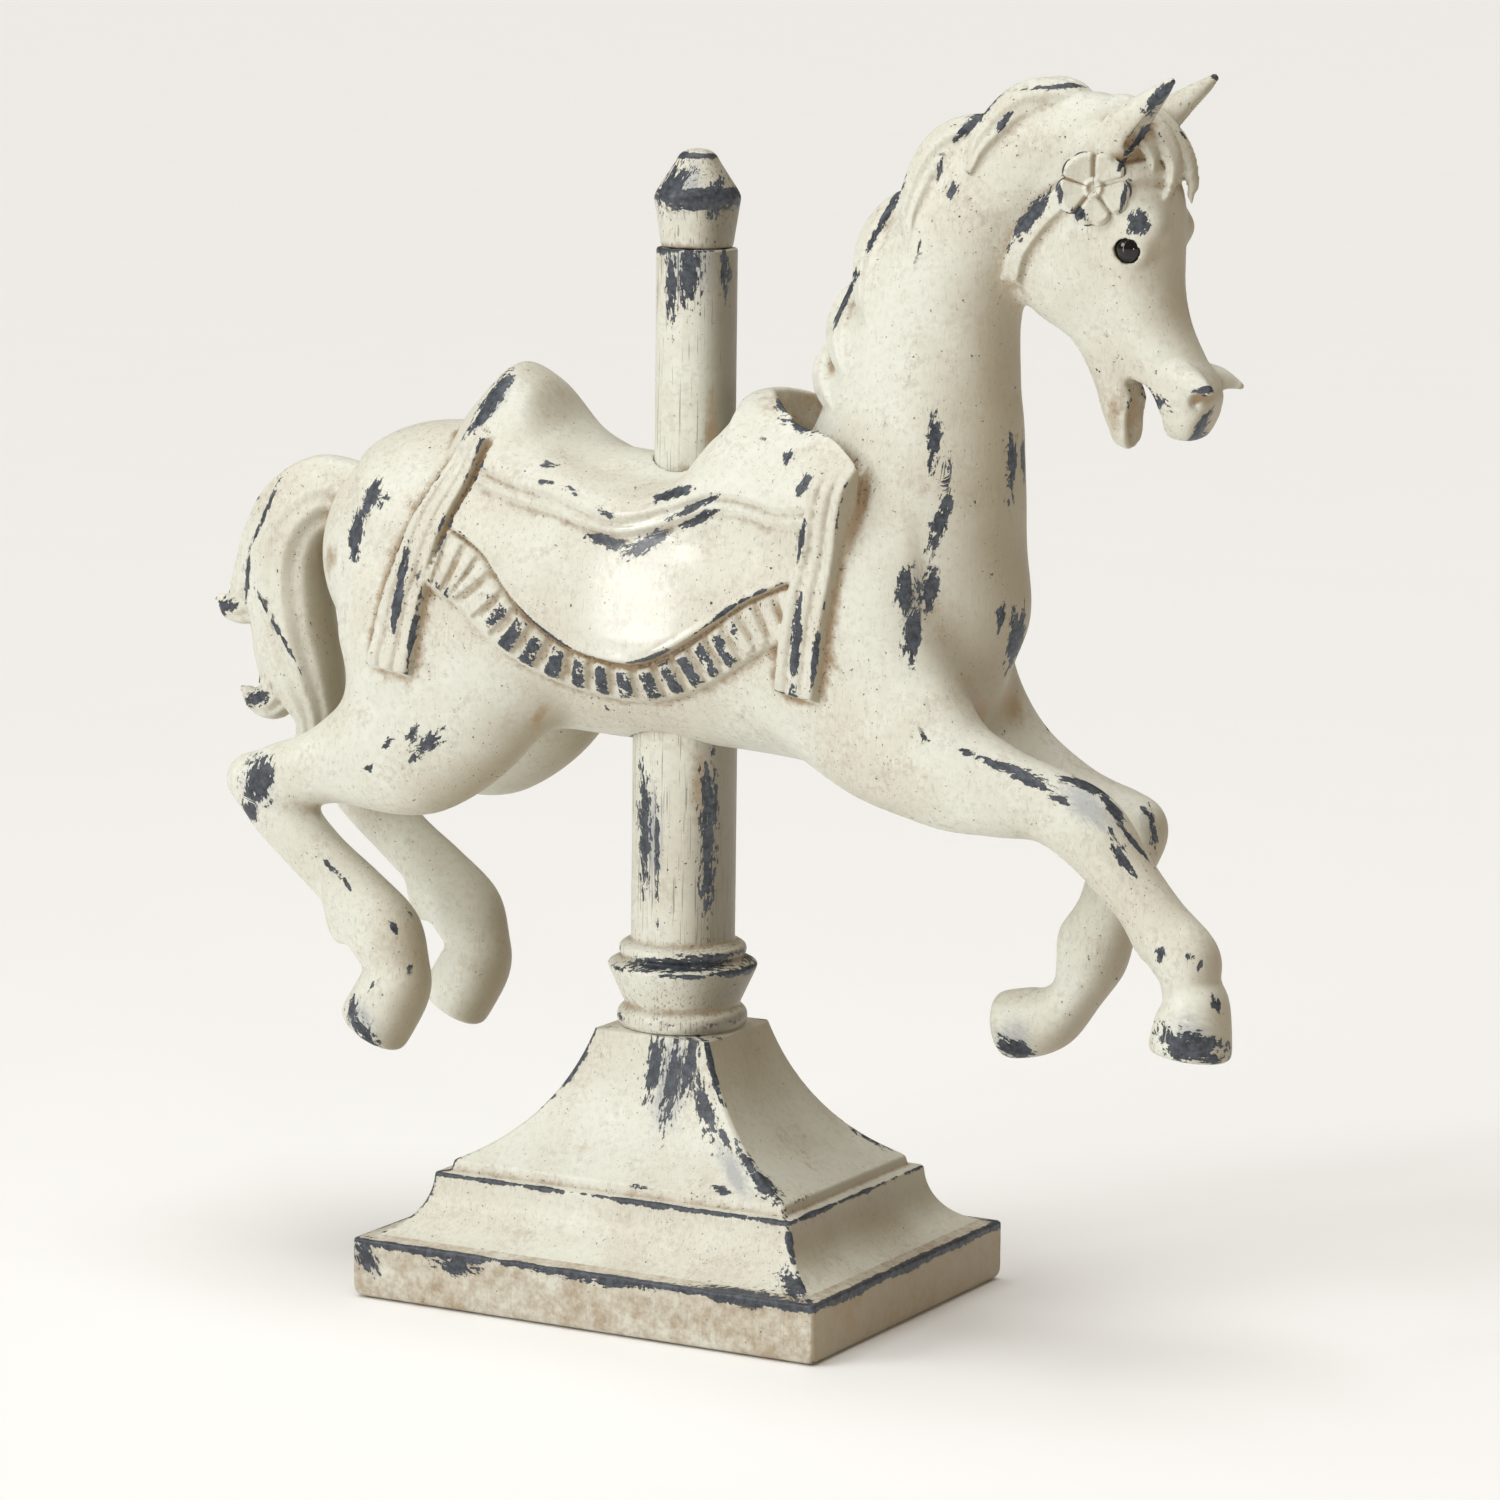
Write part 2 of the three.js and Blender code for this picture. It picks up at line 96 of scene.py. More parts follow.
# Outlines of turned pieces: radius, and height above the foot
COLUMN_OUTLINE = [
    (2, 0), (21, 0), (22, 1.5), (22.3, 3.5), (21.8, 5.5), (20.6, 6.6), (19.5, 7.6), (25.2, 20),
    (25.6, 21.4), (24.3, 22.4), (20.4, 23.8), (21.6, 25.2), (21.8, 26.6), (21.4, 28), (19.4, 29.2),
    (COLUMN_RADIUS, 29.6), (COLUMN_RADIUS, COLUMN_TOP - COLUMN_FOOT), (2, COLUMN_TOP - COLUMN_FOOT),
]
FINIAL_OUTLINE = [
    (2, 0), (12, 0), (14.3, 14.7), (14.6, 16.7), (13.7, 18.7), (7.5, 28.2), (6.2, 30.6), (4, 32.1),
    (1, 32.6),
]
POST_OUTLINE = [(2, 0), (POST_RADIUS, 0), (POST_RADIUS, POST_TOP - POST_BOTTOM), (2, POST_TOP - POST_BOTTOM)]
# Turned pieces: node, x, foot, outline, its worn corners with their shares, and its hollow corners
TURNED = [
    ("column", 0, COLUMN_FOOT, COLUMN_OUTLINE, ((3, 0.7), (8, 1), (12, 0.85)), (6, 10, 15)),
    ("post", POST_X, POST_BOTTOM, POST_OUTLINE, ((2, 1),), (1,)),
    ("finial", POST_X, FINIAL_FOOT, FINIAL_OUTLINE, ((3, 1), (4, 1), (6, 1)), (1,)),
]

# Legs: distance of their middle line from the horse's; the far hind leg stands further back and lower
LEG_Y = 28
FAR_HIND_BACK = 1.5
FAR_HIND_DROP = 0.7

# Eyes
EYE = (167.5, 11.8, 365)
EYE_RADIUS = 5.0
EYE_SOCKET = EYE_RADIUS + 0.2
BEAD_RADIUS = EYE_RADIUS - 0.05
BEAD_PARTS = 40
BEAD_RINGS = 24

# Rows of a limb: x, z, half-depth in the horse's own plane, half-width across, and distance outwards if any
TORSO = [
    (-99, 246.5, 41, 34), (-92, 248, 46, 36.5), (-55, 242, 49, 41), (-20, 239, 49, 40.5),
    (15, 238, 48, 39.5), (50, 239, 51, 39), (76, 239, 52, 36), (92, 239, 45, 33), (103, 239, 33, 25),
    (109, 240, 15, 12),
]
NECK = [
    (73, 233, 39, 30), (80, 255, 44, 32.5), (84.5, 278, 40.5, 29.5), (88, 300, 36, 26),
    (90, 320, 32.5, 23), (95, 345, 28, 20), (105, 368, 25, 18), (119, 384, 22, 16.5), (135, 394, 19, 15),
    (150, 397.5, 15, 12),
]
SKULL = [
    (147, 401, 10, 10), (152, 393, 18, 14), (157, 378, 22.5, 16.5), (161, 363, 20, 15.5),
    (166, 348, 15.5, 13), (171.5, 336, 13, 10.5), (178, 325, 12, 9.5), (183, 317, 12, 10.5),
    (184.5, 312.5, 11, 9.8),
]
LOWER_JAW = [
    (142, 351, 12, 9.5), (152, 338, 10, 8.5), (158, 325, 8.5, 7.5), (162, 313, 8.2, 7.5),
    (163.5, 306.5, 7, 7),
]
HIND_THIGH = [
    (-76, 256, 14, 8, -12), (-77, 238, 34, 16, -8), (-76, 214, 40, 18.5, -4), (-93, 188, 30, 16.5, -1),
    (-123, 175.5, 14.5, 12.5), (-146, 168.5, 11.5, 11), (-156, 167, 8.5, 9.5),
]
HIND_SHANK = [
    (-155, 167, 8, 8), (-150, 162, 10.5, 9), (-142, 154, 11, 9), (-127, 141, 10.5, 8.5),
    (-113, 130, 11.5, 9), (-102, 118, 14, 10.5), (-97, 107, 12, 9.5), (-98, 99, 13, 11),
    (-107.5, 83, 13.2, 11.5),
]
STRETCHED_FORELEG = [
    (54, 256, 14, 8, -14), (66, 236, 31, 15, -10), (86, 212, 31, 17, -5), (112, 195, 21, 15.5, -1),
    (132, 189, 15.5, 13.5), (150, 186, 12.5, 11.5), (165, 179, 13, 11), (178, 165, 10.8, 8.8),
    (190, 152, 10, 8.2), (200, 140, 11.8, 9.6), (201.6, 131.5, 9.4, 8.6), (203.3, 126, 11.8, 10.6),
    (202, 109, 14.4, 12),
]
BENT_FOREARM = [
    (54, 256, 14, 8, -14), (66, 236, 31, 15, -10), (86, 208, 29, 17, -5), (108, 189, 19, 15.5, -2),
    (130, 177.5, 14, 12.5), (148, 171, 13, 11.5), (156, 169.5, 10, 9.5),
]
BENT_SHANK = [
    (154, 172, 10, 9.5), (152, 164, 11.5, 9.5), (150, 155, 11, 8.8), (146, 141, 11, 8.8),
    (140.5, 125.5, 12.2, 10.2), (135, 112.5, 8.8, 8.8), (127.5, 104.5, 10.4, 10.2), (120, 101.5, 11.8, 11),
    (107.5, 99, 11.6, 11.4),
]
# Rounded forms: middle and radii
BREAST = ((94, 0, 224), (25, 22, 27))
BUTTOCK = ((-100, 25, 222), (20, 15, 26))
CHEEK = ((142, 0, 360), (21, 13.5, 22))
BROW = ((171.5, 10.5, 371), (7.5, 5, 6))
EYE_LID = ((167.5, 12.6, 365), (7, 2.6, 5.6))
MOUTH_HOLLOW = ((168, 0, 310), (7, 5.2, 10.5))
NOSTRIL_HOLLOW = ((194, 12, 316.8), (4.2, 3.4, 2.8))
SHOULDER = ((68, 26.5, 284), (22, 11, 15.5))
# How far forms blend into the body where they meet it
NECK_BLEND = 16
LEG_BLEND = 12
SHANK_BLEND = 5
TUFT_BLEND = 2
BREAST_BLEND = 8
BUTTOCK_BLEND = 10
SEAT_BLEND = 4
HEAD_BLEND = 8
JAW_BLEND = 5
WING_BLEND = 3
EAR_BLEND = 3
MANE_BLEND = 1.1
FORELOCK_BLEND = 0.8
TAIL_BLEND = 2.5
RIM_BLEND = 6
WITHERS_BLEND = 1.5
LIP_BLEND = 3
END_BLEND = 2.5
MOUTH_BLEND = 1.5
MOUTH_HOLLOW_BLEND = 2.5
SMALL_BLEND = 1
FINE_BLEND = 0.8
POLE_BLEND = 0.2
# Tufts behind the fetlocks
HIND_TUFT = [(-120, 135, 5, 6), (-117.5, 126, 8.5, 7), (-116, 118.5, 8, 6.5), (-115, 113.2, 6.5, 5.5)]
STRETCHED_TUFT = [(182, 154, 5, 5.5), (187, 147, 6.5, 6.5), (190, 143, 6.5, 6), (191.5, 140.2, 5.5, 5)]
BENT_TUFT = [(139, 140, 5, 5.5), (135, 133, 6.5, 6), (132, 128, 5, 5), (131, 126, 3.6, 4)]
MOUTH = [
    (166, 321, 1.5, 22), (170, 317, 4.2, 22), (171.3, 311, 6.2, 22), (171.3, 304, 6.4, 22),
    (171.3, 294, 7, 22),
]
NOSTRIL_WING = [
    (183, 324.5, 4, 4), (189, 323, 4.2, 4, 1), (193, 321.8, 3, 3, 2.2), (196, 320.8, 1.5, 1.8, 3.6),
]
NOSTRIL = [
    (191.5, 314.6, 1.2, 3), (189.6, 316.4, 1.5, 3.2), (191.5, 318.2, 1.8, 3.6), (195.5, 318.4, 1.4, 3.4),
]
# The front of the nose: a plane through the middle line at this x and z, leaning forwards at the top
NOSE_FRONT = (192, 311.3)
NOSE_LEAN = math.radians(28)
LIP_BOTTOM = 303.4
WING_Y = 8
NOSTRIL_Y = 10.8
EAR_Y = 12.5
# The hollow of an ear: its move forwards, downwards and outwards, and its shares of depth and width
EAR_HOLLOW_MOVE = (3.6, -2.6, 0.5)
EAR_HOLLOW_SHARE = (0.62, 0.66)
EAR = [
    (160, 398, 6.5, 5), (165, 402.5, 7.2, 5.6, 0.6), (171, 408, 5.8, 4.8, 1.6),
    (177, 413.5, 3.6, 3.2, 2.8), (182.5, 418.5, 1.4, 1.4, 4),
]
SEAT = [
    (-82, 279, 10, 18), (-78, 279, 25, 24), (-69, 278, 37, 28), (-59, 277, 34, 30), (-46, 275, 21, 33),
    (-27, 272, 12.5, 35), (-4, 270, 11, 36), (12, 271, 14, 35), (22, 273, 25, 34), (31, 274, 35, 33),
    (38, 275, 37.5, 33), (52, 275, 37, 34), (64, 274, 37, 37), (78, 272, 34, 37.5), (90, 270, 26, 37.5),
]
# The rim of the pommel sweeps forwards down both sides: distance outwards against x at a level
RIM_OUT = (0, 8, 16, 21, 26, 33, 38)
RIM_X = (37, 41, 48, 54, 64, 78, 84)
RIM_LEVEL = 300
RIM_LEAN = 0.3
# The front of the seat: x at a level, and its lean
SEAT_FRONT = 85
SEAT_FRONT_LEVEL = 292
SEAT_FRONT_LEAN = 0.2
# Gap between the rim and the neck, against the distance outwards
HOLLOW_OUT = (12, 24)
HOLLOW = (4.5, -4)
TAIL = [
    [(-118, 262, 9, 8), (-138, 265, 12, 11), (-153, 255, 14.5, 12.5), (-159, 238, 16, 13),
     (-157, 218, 16, 13), (-151, 200, 14, 12), (-146, 184, 9.5, 9), (-152, 169, 7, 7),
     (-163, 155, 5, 5), (-172, 144, 1.2, 1.5)],
    [(-126, 270, 6, 6), (-146, 272, 6.5, 7), (-162, 262, 7, 8), (-170, 247, 7.5, 8),
     (-172, 236, 9, 8), (-175, 226, 9.5, 7.5), (-182, 222.5, 6.5, 5.5), (-188, 224.5, 2, 2.2)],
    [(-150, 264, 5, 6, 3), (-165, 245, 7, 8, 4), (-169, 227, 7, 8, 4), (-167, 209, 8, 8, 3),
     (-163, 199, 9.5, 7, 2), (-166, 191, 8.5, 6.5, 1), (-172.5, 190, 5.4, 4.5), (-178, 193, 1.8, 2)],
]

# Grooves along the hair: how many across a lock, and how deep
MANE_GROOVES = (3, 0.7)
TAIL_GROOVES = (4, 0.8)
# Mane locks: where each starts along the neck, and its length, as shares of the neck
MANE_LOCKS = [(1.0, 0.24), (0.83, 0.21), (0.68, 0.18), (0.56, 0.14), (0.48, 0.12)]
# Rows of one lock: share of its length, lift above the crest, half-depth, half-width, distance outwards
LOCK_ROWS = [
    (0, -8, 3, 4, 1), (0.25, -3, 7, 6, 3), (0.5, -3, 8, 5.4, 7.5), (0.8, -9, 5.5, 3.6, 13.4),
    (1, -15.5, 1.4, 1.5, 16.4),
]
FORELOCKS = [
    [(150, 408, 4, 6), (161, 408, 5, 6, 1), (172, 401, 4.5, 5, 2), (178.5, 391, 3.2, 3.6, 4),
     (177.5, 381, 1, 1.2, 7)],
    [(152, 408, 4, 5, -3), (164, 407, 4.5, 5, -4), (175, 398, 4, 4.5, -5), (181, 388, 2.6, 3.2, -4),
     (182, 379, 1, 1.2, -2)],
    [(152, 406, 4, 4, 5), (164, 403, 4, 4, 6), (172, 395, 3, 3.4, 7), (174, 387, 1, 1.2, 9)],
]

# Trappings in the side view. Rows of the flap's lower edge: x, z, depth of the fringe under it
FLAP_EDGE = [
    (-76, 263, 21), (-66, 260, 22), (-55, 254, 22), (-47, 245, 19), (-37, 235, 17), (-23, 226, 15.5),
    (-8, 222, 14.5), (4, 221.5, 14), (16, 226, 15), (30, 234.5, 16), (45, 245, 17), (64, 254, 18),
]
# Rows of a strap's middle line: x, z, half-width
REAR_STRAP = [(-66, 293, 5), (-71, 282, 6), (-81, 258, 7.5), (-87, 236, 8.5), (-90.5, 213, 9)]
FRONT_STRAP = [(78, 295, 6), (76, 289, 6.5), (73, 275, 7), (67.5, 246, 8), (63.5, 216, 8.5)]
SEAT_BORDER = [
    (-66, 284), (-48, 279), (-30, 276), (-14, 271.5), (-2, 270.5), (14, 275), (29, 280), (44, 279),
    (54, 277), (66, 278),
]
BROWBAND = [(158, 388, 3.4), (172, 389.5, 3.4), (190, 389, 3.4)]
THROAT_LATCH = [(150, 384, 3.4), (140, 377, 4), (134, 371, 4), (128, 362.5, 3.6), (125, 353, 3.2)]
# Back and front edges of the flap: x at a level, that level, and lean; then its top
FLAP_BACK = (-80, 238, 0.4)
FLAP_FRONT = (66, 246, 0.22)
FLAP_TOP = 300
FLAP_RISE = 2.6
FLAP_EDGE_FADE = (-0.6, 0.8)
# Humps of relief: height, middle and reach, over the distance from the flap's edge or the seat's border
FLAP_BEADS = [(0.7, 1.6, 1.3)]
SEAT_WELTS = [(0.8, 0, 1.3), (0.8, -5, 1.3)]
SEAT_GROOVES = [(0.6, -2.5, 1.0), (0.5, -7.5, 1.2)]
# The flap flares out below a level, over this run
FLAP_FLARE = 2.6
FLARE_LEVEL = 246
FLARE_RUN = 26
FRINGE_RISE = 1.5
RIB_RISE = 1.3
RIB_PITCH = 7.6
# Worn ribs: from this distance outwards, between these fades along x, with this gain and start
RIB_WEAR_OUT = 30
RIB_WEAR_BACK = (-60, -44)
RIB_WEAR_FRONT = (52, 34)
RIB_WEAR_GAIN = 1.1
RIB_WEAR_START = -0.6
STRAP_RISE = 3.4
FRONT_STRAP_RISE = STRAP_RISE + 0.6
FRONT_STRAP_FADE = (295, 283)
STRAP_BANDS = 3
BAND_GROOVE = 1.3
BRIDLE_RISE = 2.1
# The trappings fade in over these distances outwards
CLOTH_START = 17
CLOTH_FULL = 26
ROSETTE = (156.5, 16.5, 384)
ROSETTE_FACING = (0.3, 0.95, 0.05)
ROSETTE_RADIUS = 12.3
ROSETTE_RINGS = 30
ROSETTE_PARTS = 220
ROSETTE_SKIRT = -4.0
PETALS = 5
PETAL_TURN = 0.25
PETAL_RISE = 2.2
PETAL_CURL = 0.9
# Outline of a petal: depth and power of its round sides, depth and reach of its notch
PETAL_ROUND = (0.17, 3.4)
PETAL_NOTCH = (0.04, 0.16)
# Grooves between petals and along each one: depth and reach
PETAL_GROOVE = (1.2, 0.7)
PETAL_VEIN = (0.15, 0.2)
PETAL_RIM_DROP = 1.2
PETAL_RIM_START = 0.86
# The middle of the flower: its level, its ring as a hump, its core's rise and radius, and where it ends
BUTTON_LEVEL = 1.9
BUTTON_RING = (1.3, 2.4, 0.8)
BUTTON_CORE = (0.2, 2)
BUTTON_RADIUS = 3
BUTTON_END = 3.6

# Worn places, read off the photograph in its 1500-pixel frame: across and down to the middle,
# half-length, half-width, and lean of the length up from level, in degrees
PHOTO_SIZE = 1500
# How far a worn place reaches along the view, in millimetres; the stretch of its grain; and no wear at all
WORN_DEPTH = 13
GRAIN_STRETCH = 0.3
UNWORN = -1.5
# Grime and painted shade laid over the whole plinth
PLINTH_GRIME_AND_SHADE = 0.5
WORN_SADDLE = [
    (492, 398, 42, 9, 60), (782, 405, 10, 6, -62), (803, 427, 23, 7, -27), (788, 456, 9, 4.5, 80),
    (803, 486, 14, 5, 60), (801, 542, 22, 3, 80), (774, 428, 3, 2, 30), (766, 440, 3, 2.5, 40),
    (549, 466, 9, 4, 0), (545, 482, 9, 2.5, -5), (571, 490, 8, 4, -25), (606, 514, 10, 4, -25),
    (675, 493, 22, 5, 15), (692, 508, 30, 3.5, 24), (697, 520, 24, 5, 25), (606, 541, 23, 7, -15),
    (647, 543, 24, 8, 25), (797, 640, 55, 5, 84), (815, 660, 40, 4, 84), (398, 600, 50, 5, 80),
    (412, 640, 30, 4, 80),
]
WORN_FRONT = [
    (906, 588, 24, 9, 85), (928, 592, 26, 12, 75), (912, 635, 26, 9, 85), (938, 525, 32, 8, 75),
    (935, 440, 22, 9, 80), (948, 470, 14, 5, 80), (1012, 459, 24, 6, 92), (1010, 502, 9, 4, 92),
    (1015, 640, 36, 9, 85), (1001, 618, 14, 4, 80),
]
WORN_HEAD = [
    (1031, 217, 32, 8, 53), (1137, 224, 14, 11, 70), (1157, 401, 16, 7, -40), (1207, 390, 13, 4, 10),
    (1109, 438, 16, 5.5, -65), (1202, 428, 22, 6, 65), (1194, 440, 8, 5, 20), (1160, 97, 26, 6, 50),
    (1138, 140, 26, 4, 52), (1222, 85, 13, 5, 50), (975, 121, 36, 5, 42), (940, 168, 14, 2.4, 80),
    (891, 206, 44, 4, 62), (849, 292, 38, 3, 66), (1062, 86, 46, 2.4, 4), (1005, 121, 13, 4, 52),
    (953, 190, 8, 5, 65), (921, 245, 10, 3.5, 70), (914, 368, 8, 1.2, 62), (922, 324, 4, 1, 0),
]
WORN_ROSETTE = [
    (1080, 214, 9, 7, 60), (1123, 197, 15, 3, 80), (1121, 166, 10, 3, 55), (1060, 194, 10, 2.5, 90),
]
WORN_HIND = [
    (373, 496, 22, 8, 65), (358, 530, 30, 9, 80), (384, 500, 10, 4, 70), (397, 733, 9, 3.5, 65),
    (412, 736, 14, 4.5, 65), (386, 745, 6, 4, 60), (431, 741, 18, 8, 40), (404, 772, 4, 3, 60),
    (369, 768, 6, 4, 50), (414, 756, 9, 3, 50), (453, 713, 3.5, 1.6, 60), (326, 862, 5, 2, -50),
    (333, 870, 7, 3, -50), (347, 884, 8, 3, -55), (394, 928, 6, 5, -60), (409, 968, 6, 2, 40),
    (258, 782, 28, 17, 80), (250, 810, 14, 9, 100), (362, 1029, 24, 8, -52), (352, 1008, 14, 4, -100),
    (372, 985, 8, 2, 50), (262, 520, 50, 2.6, 65), (247, 580, 34, 2.6, 85), (275, 625, 50, 2.2, -60),
    (226, 606, 14, 8, 20), (258, 698, 18, 8, 20),
]
WORN_FORE = [
    (1090, 786, 28, 6, -18), (1110, 806, 24, 6, -52), (1132, 840, 22, 2.5, -50), (1062, 800, 11, 4, -25),
    (1111, 830, 8, 2.2, -65), (1123, 845, 8, 3, -60), (1121, 859, 24, 5, -52), (1153, 832, 22, 5, -80),
    (1146, 812, 8, 3, -50), (1013, 770, 34, 5, -20), (1030, 781, 24, 5, -24), (922, 737, 9, 4, -20),
    (966, 752, 10, 3.5, -20), (1194, 1047, 38, 17, -8), (1165, 1035, 14, 6, -60), (1218, 1005, 10, 5, -60),
    (1160, 955, 8, 4, 80), (1200, 965, 8, 3.5, 80), (1188, 957, 6, 2.6, 80), (1016, 1050, 24, 11, -30),
    (790, 768, 28, 4, -35),
]
WORN_HORSE = WORN_SADDLE + WORN_FRONT + WORN_HEAD + WORN_HIND + WORN_FORE
WORN_BASE = [
    (655, 1066, 34, 9, 80), (672, 1084, 46, 8, 80), (690, 1062, 40, 8, 80), (704, 1104, 34, 9, -76),
    (724, 1136, 12, 4, -65), (748, 1162, 18, 5, -60), (764, 1186, 24, 8, -52), (722, 1190, 10, 4, -10),
    (366, 1256, 18, 12, -60), (455, 1266, 24, 9, -12), (735, 1293, 76, 5, -4), (610, 1283, 50, 4, -3),
    (560, 1272, 40, 4, -5), (792, 1288, 18, 9, -60),
]
WORN_POLES = [
    (645, 828, 56, 7, 90), (657, 850, 60, 2.4, 90), (708, 830, 82, 8.5, 90), (690, 270, 35, 12, 90),
    (672, 280, 40, 6, 90), (725, 275, 30, 5, 90), (680, 965, 70, 8, 0), (672, 185, 24, 14, 66),
    (700, 205, 38, 6, 0), (716, 200, 20, 9, 80),
]
# Places rubbed to a soft grey, in the same columns
SCUFFED_HORSE = [
    (1088, 806, 48, 20, -36), (258, 782, 34, 24, 80), (1196, 1040, 40, 28, -10), (362, 1018, 32, 16, -57),
    (1012, 1040, 28, 24, 60), (916, 600, 52, 14, 84), (800, 425, 40, 9, -35), (494, 400, 48, 11, 57),
    (1150, 830, 26, 11, -75), (1012, 470, 38, 9, 93), (1155, 110, 34, 9, 50),
]
SCUFFED_BASE = [
    (672, 1080, 70, 26, 79), (735, 1175, 56, 14, -60), (455, 1264, 34, 14, -8), (366, 1258, 24, 18, -50),
]
SCUFFED_POLES = [(652, 835, 70, 14, 90), (690, 262, 40, 34, 90), (685, 190, 34, 22, 70)]
# Places darkened brown, in the same columns: partly grime gathered there, partly painted shade where little
# light falls
GRIME_AND_SHADE_HORSE = [
    (1133, 412, 32, 13, 90), (1204, 398, 14, 11, 0), (1146, 132, 34, 13, 48), (540, 715, 30, 10, 57),
    (1010, 705, 40, 20, -55), (980, 715, 40, 22, -50), (820, 405, 40, 18, -25), (330, 560, 30, 14, 70),
    (1120, 160, 22, 12, -20),
]
GRIME_AND_SHADE_POLES = [(712, 430, 70, 12, 90), (690, 476, 44, 20, 0), (700, 790, 60, 16, 90)]
# Places polished by handling, in the same columns
POLISHED = [(640, 592, 110, 100, 0)]

# Colours of the paint, what has settled on it, the brown of dirt and painted shade, and the undercoat
CREAM = (0.77, 0.775, 0.69, 1)
WARM_CREAM = (0.70, 0.68, 0.58, 1)
PALE_CREAM = (0.82, 0.83, 0.76, 1)
STAIN = (0.50, 0.43, 0.31, 1)
MOTTLE = (0.50, 0.47, 0.38, 1)
HAIRLINE = (0.30, 0.29, 0.27, 1)
SCUFF_GREY = (0.36, 0.38, 0.41, 1)
DIRT_AND_SHADE_BROWN = (0.36, 0.26, 0.155, 1)
PIT_BROWN = (0.20, 0.15, 0.10, 1)
DARK_SLATE = (0.024, 0.029, 0.038, 1)
LIGHT_SLATE = (0.080, 0.094, 0.118, 1)
DARK_BEAD = (0.004, 0.004, 0.005, 1)
LIGHT_BEAD = (0.012, 0.011, 0.011, 1)
FLOOR_PALE = (0.945, 0.945, 0.94, 1)
FLOOR_PALER = (0.96, 0.96, 0.957, 1)
SURROUNDINGS = (1, 0.80, 0.56, 1)
SURROUNDINGS_STRENGTH = 0.2
FLOOR_HALF = 30

# Scales of the noises, of the paint from its largest clouds to its finest hairs, and gloss
CLOUD_SCALE = 23
PATCH_SCALE = 100
BREAK_SCALE = 260
CHIP_SCALE = 380
FINE_SCALE = 430
STROKE_SCALE = 620
TORN_SCALE = 900
PIT_SCALE = 900
HAIR_SCALE = 1500
BEAD_SCALE = 300
FLOOR_SCALE = 9
COAT_ROUGHNESS = 0.14
FLOOR_ROUGHNESS = 0.8
BUMP_DEPTH = 0.0004
BUMP_STRENGTH = 0.7

# Camera at the photograph's viewing angle: distances in metres, lens and sensor in millimetres
AZIMUTH = math.radians(28.66)
ELEVATION = math.radians(9.22)
ROLL = math.radians(-0.67)
DISTANCE = 2.004
AIM_RIGHT = 0.02203
AIM_HEIGHT = 0.18717
LENS = 142.2
SENSOR = 36
FOCAL = LENS / SENSOR * PHOTO_SIZE

level_share = math.cos(ELEVATION)
back = Vector((math.sin(AZIMUTH) * level_share, -math.cos(AZIMUTH) * level_share, math.sin(ELEVATION)))
right = Vector((math.cos(AZIMUTH), math.sin(AZIMUTH), 0))
up = back.cross(right)
camera = bpy.data.objects.new("camera", bpy.data.cameras.new("camera"))
camera.data.lens = LENS
camera.data.sensor_width = SENSOR
camera_turn = Matrix((right, up, back)).transposed() @ Matrix.Rotation(-ROLL, 3, "Z")
camera_place = Vector((0, 0, AIM_HEIGHT)) + right * AIM_RIGHT + back * DISTANCE
camera.matrix_world = Matrix.LocRotScale(camera_place, camera_turn, None)
scene.collection.objects.link(camera)
scene.camera = camera


def smooth_rows(rows, per_span=16):
    """A smooth run of rows through the given ones."""
    p = np.array(rows, float)
    p = np.vstack([2 * p[0] - p[1], p, 2 * p[-1] - p[-2]])
    out = []
    for i in range(1, len(p) - 2):
        t = np.linspace(0, 1, per_span, endpoint=False)[:, None]
        a, b, c, d = p[i - 1], p[i], p[i + 1], p[i + 2]
        square = 2 * a - 5 * b + 4 * c - d
        cube = 3 * b - a - 3 * c + d
        out.append(0.5 * (2 * b + (c - a) * t + square * t**2 + cube * t**3))
    return np.vstack(out + [p[-2][None]])


axes = [np.arange(low, high + GRID / 2, GRID, dtype=np.float32) for low, high in zip(GRID_LOW, GRID_HIGH)]


def window(low, high):
    """Slices of the grid that cover a box."""
    return tuple(
        slice(max(0, int((a - start) / GRID)), max(0, int((b - start) / GRID) + 2))
        for a, b, start in zip(low, high, GRID_LOW)
    )


def grid_in(part):
    """Coordinates of a window of the grid, each along its own axis."""
    return np.ix_(*(axis[s] for axis, s in zip(axes, part)))


def nearest(line, x, z):
    """For side-view points: the row of the line nearest to each, its distance, and the signed offset."""
    best = np.full(np.broadcast(x, z).shape, 1e9, np.float32)
    place = np.zeros(best.shape, np.float32)
    offset = np.zeros(best.shape, np.float32)
    for i in range(len(line) - 1):
        (ax, az), (bx, bz) = line[i, :2], line[i + 1, :2]
        dx, dz = bx - ax, bz - az
        length = math.hypot(dx, dz) + 1e-9
        t = np.clip(((x - ax) * dx + (z - az) * dz) / length**2, 0, 1)
        ex, ez = x - ax - t * dx, z - az - t * dz
        far = np.hypot(ex, ez)
        closer = far < best
        best = np.where(closer, far, best)
        place = np.where(closer, i + t, place)
        offset = np.where(closer, (ez * dx - ex * dz) / length, offset)
    return place, best, offset


def at_rows(line, place, column):
    return np.interp(place, np.arange(len(line)), line[:, column]).astype(np.float32)


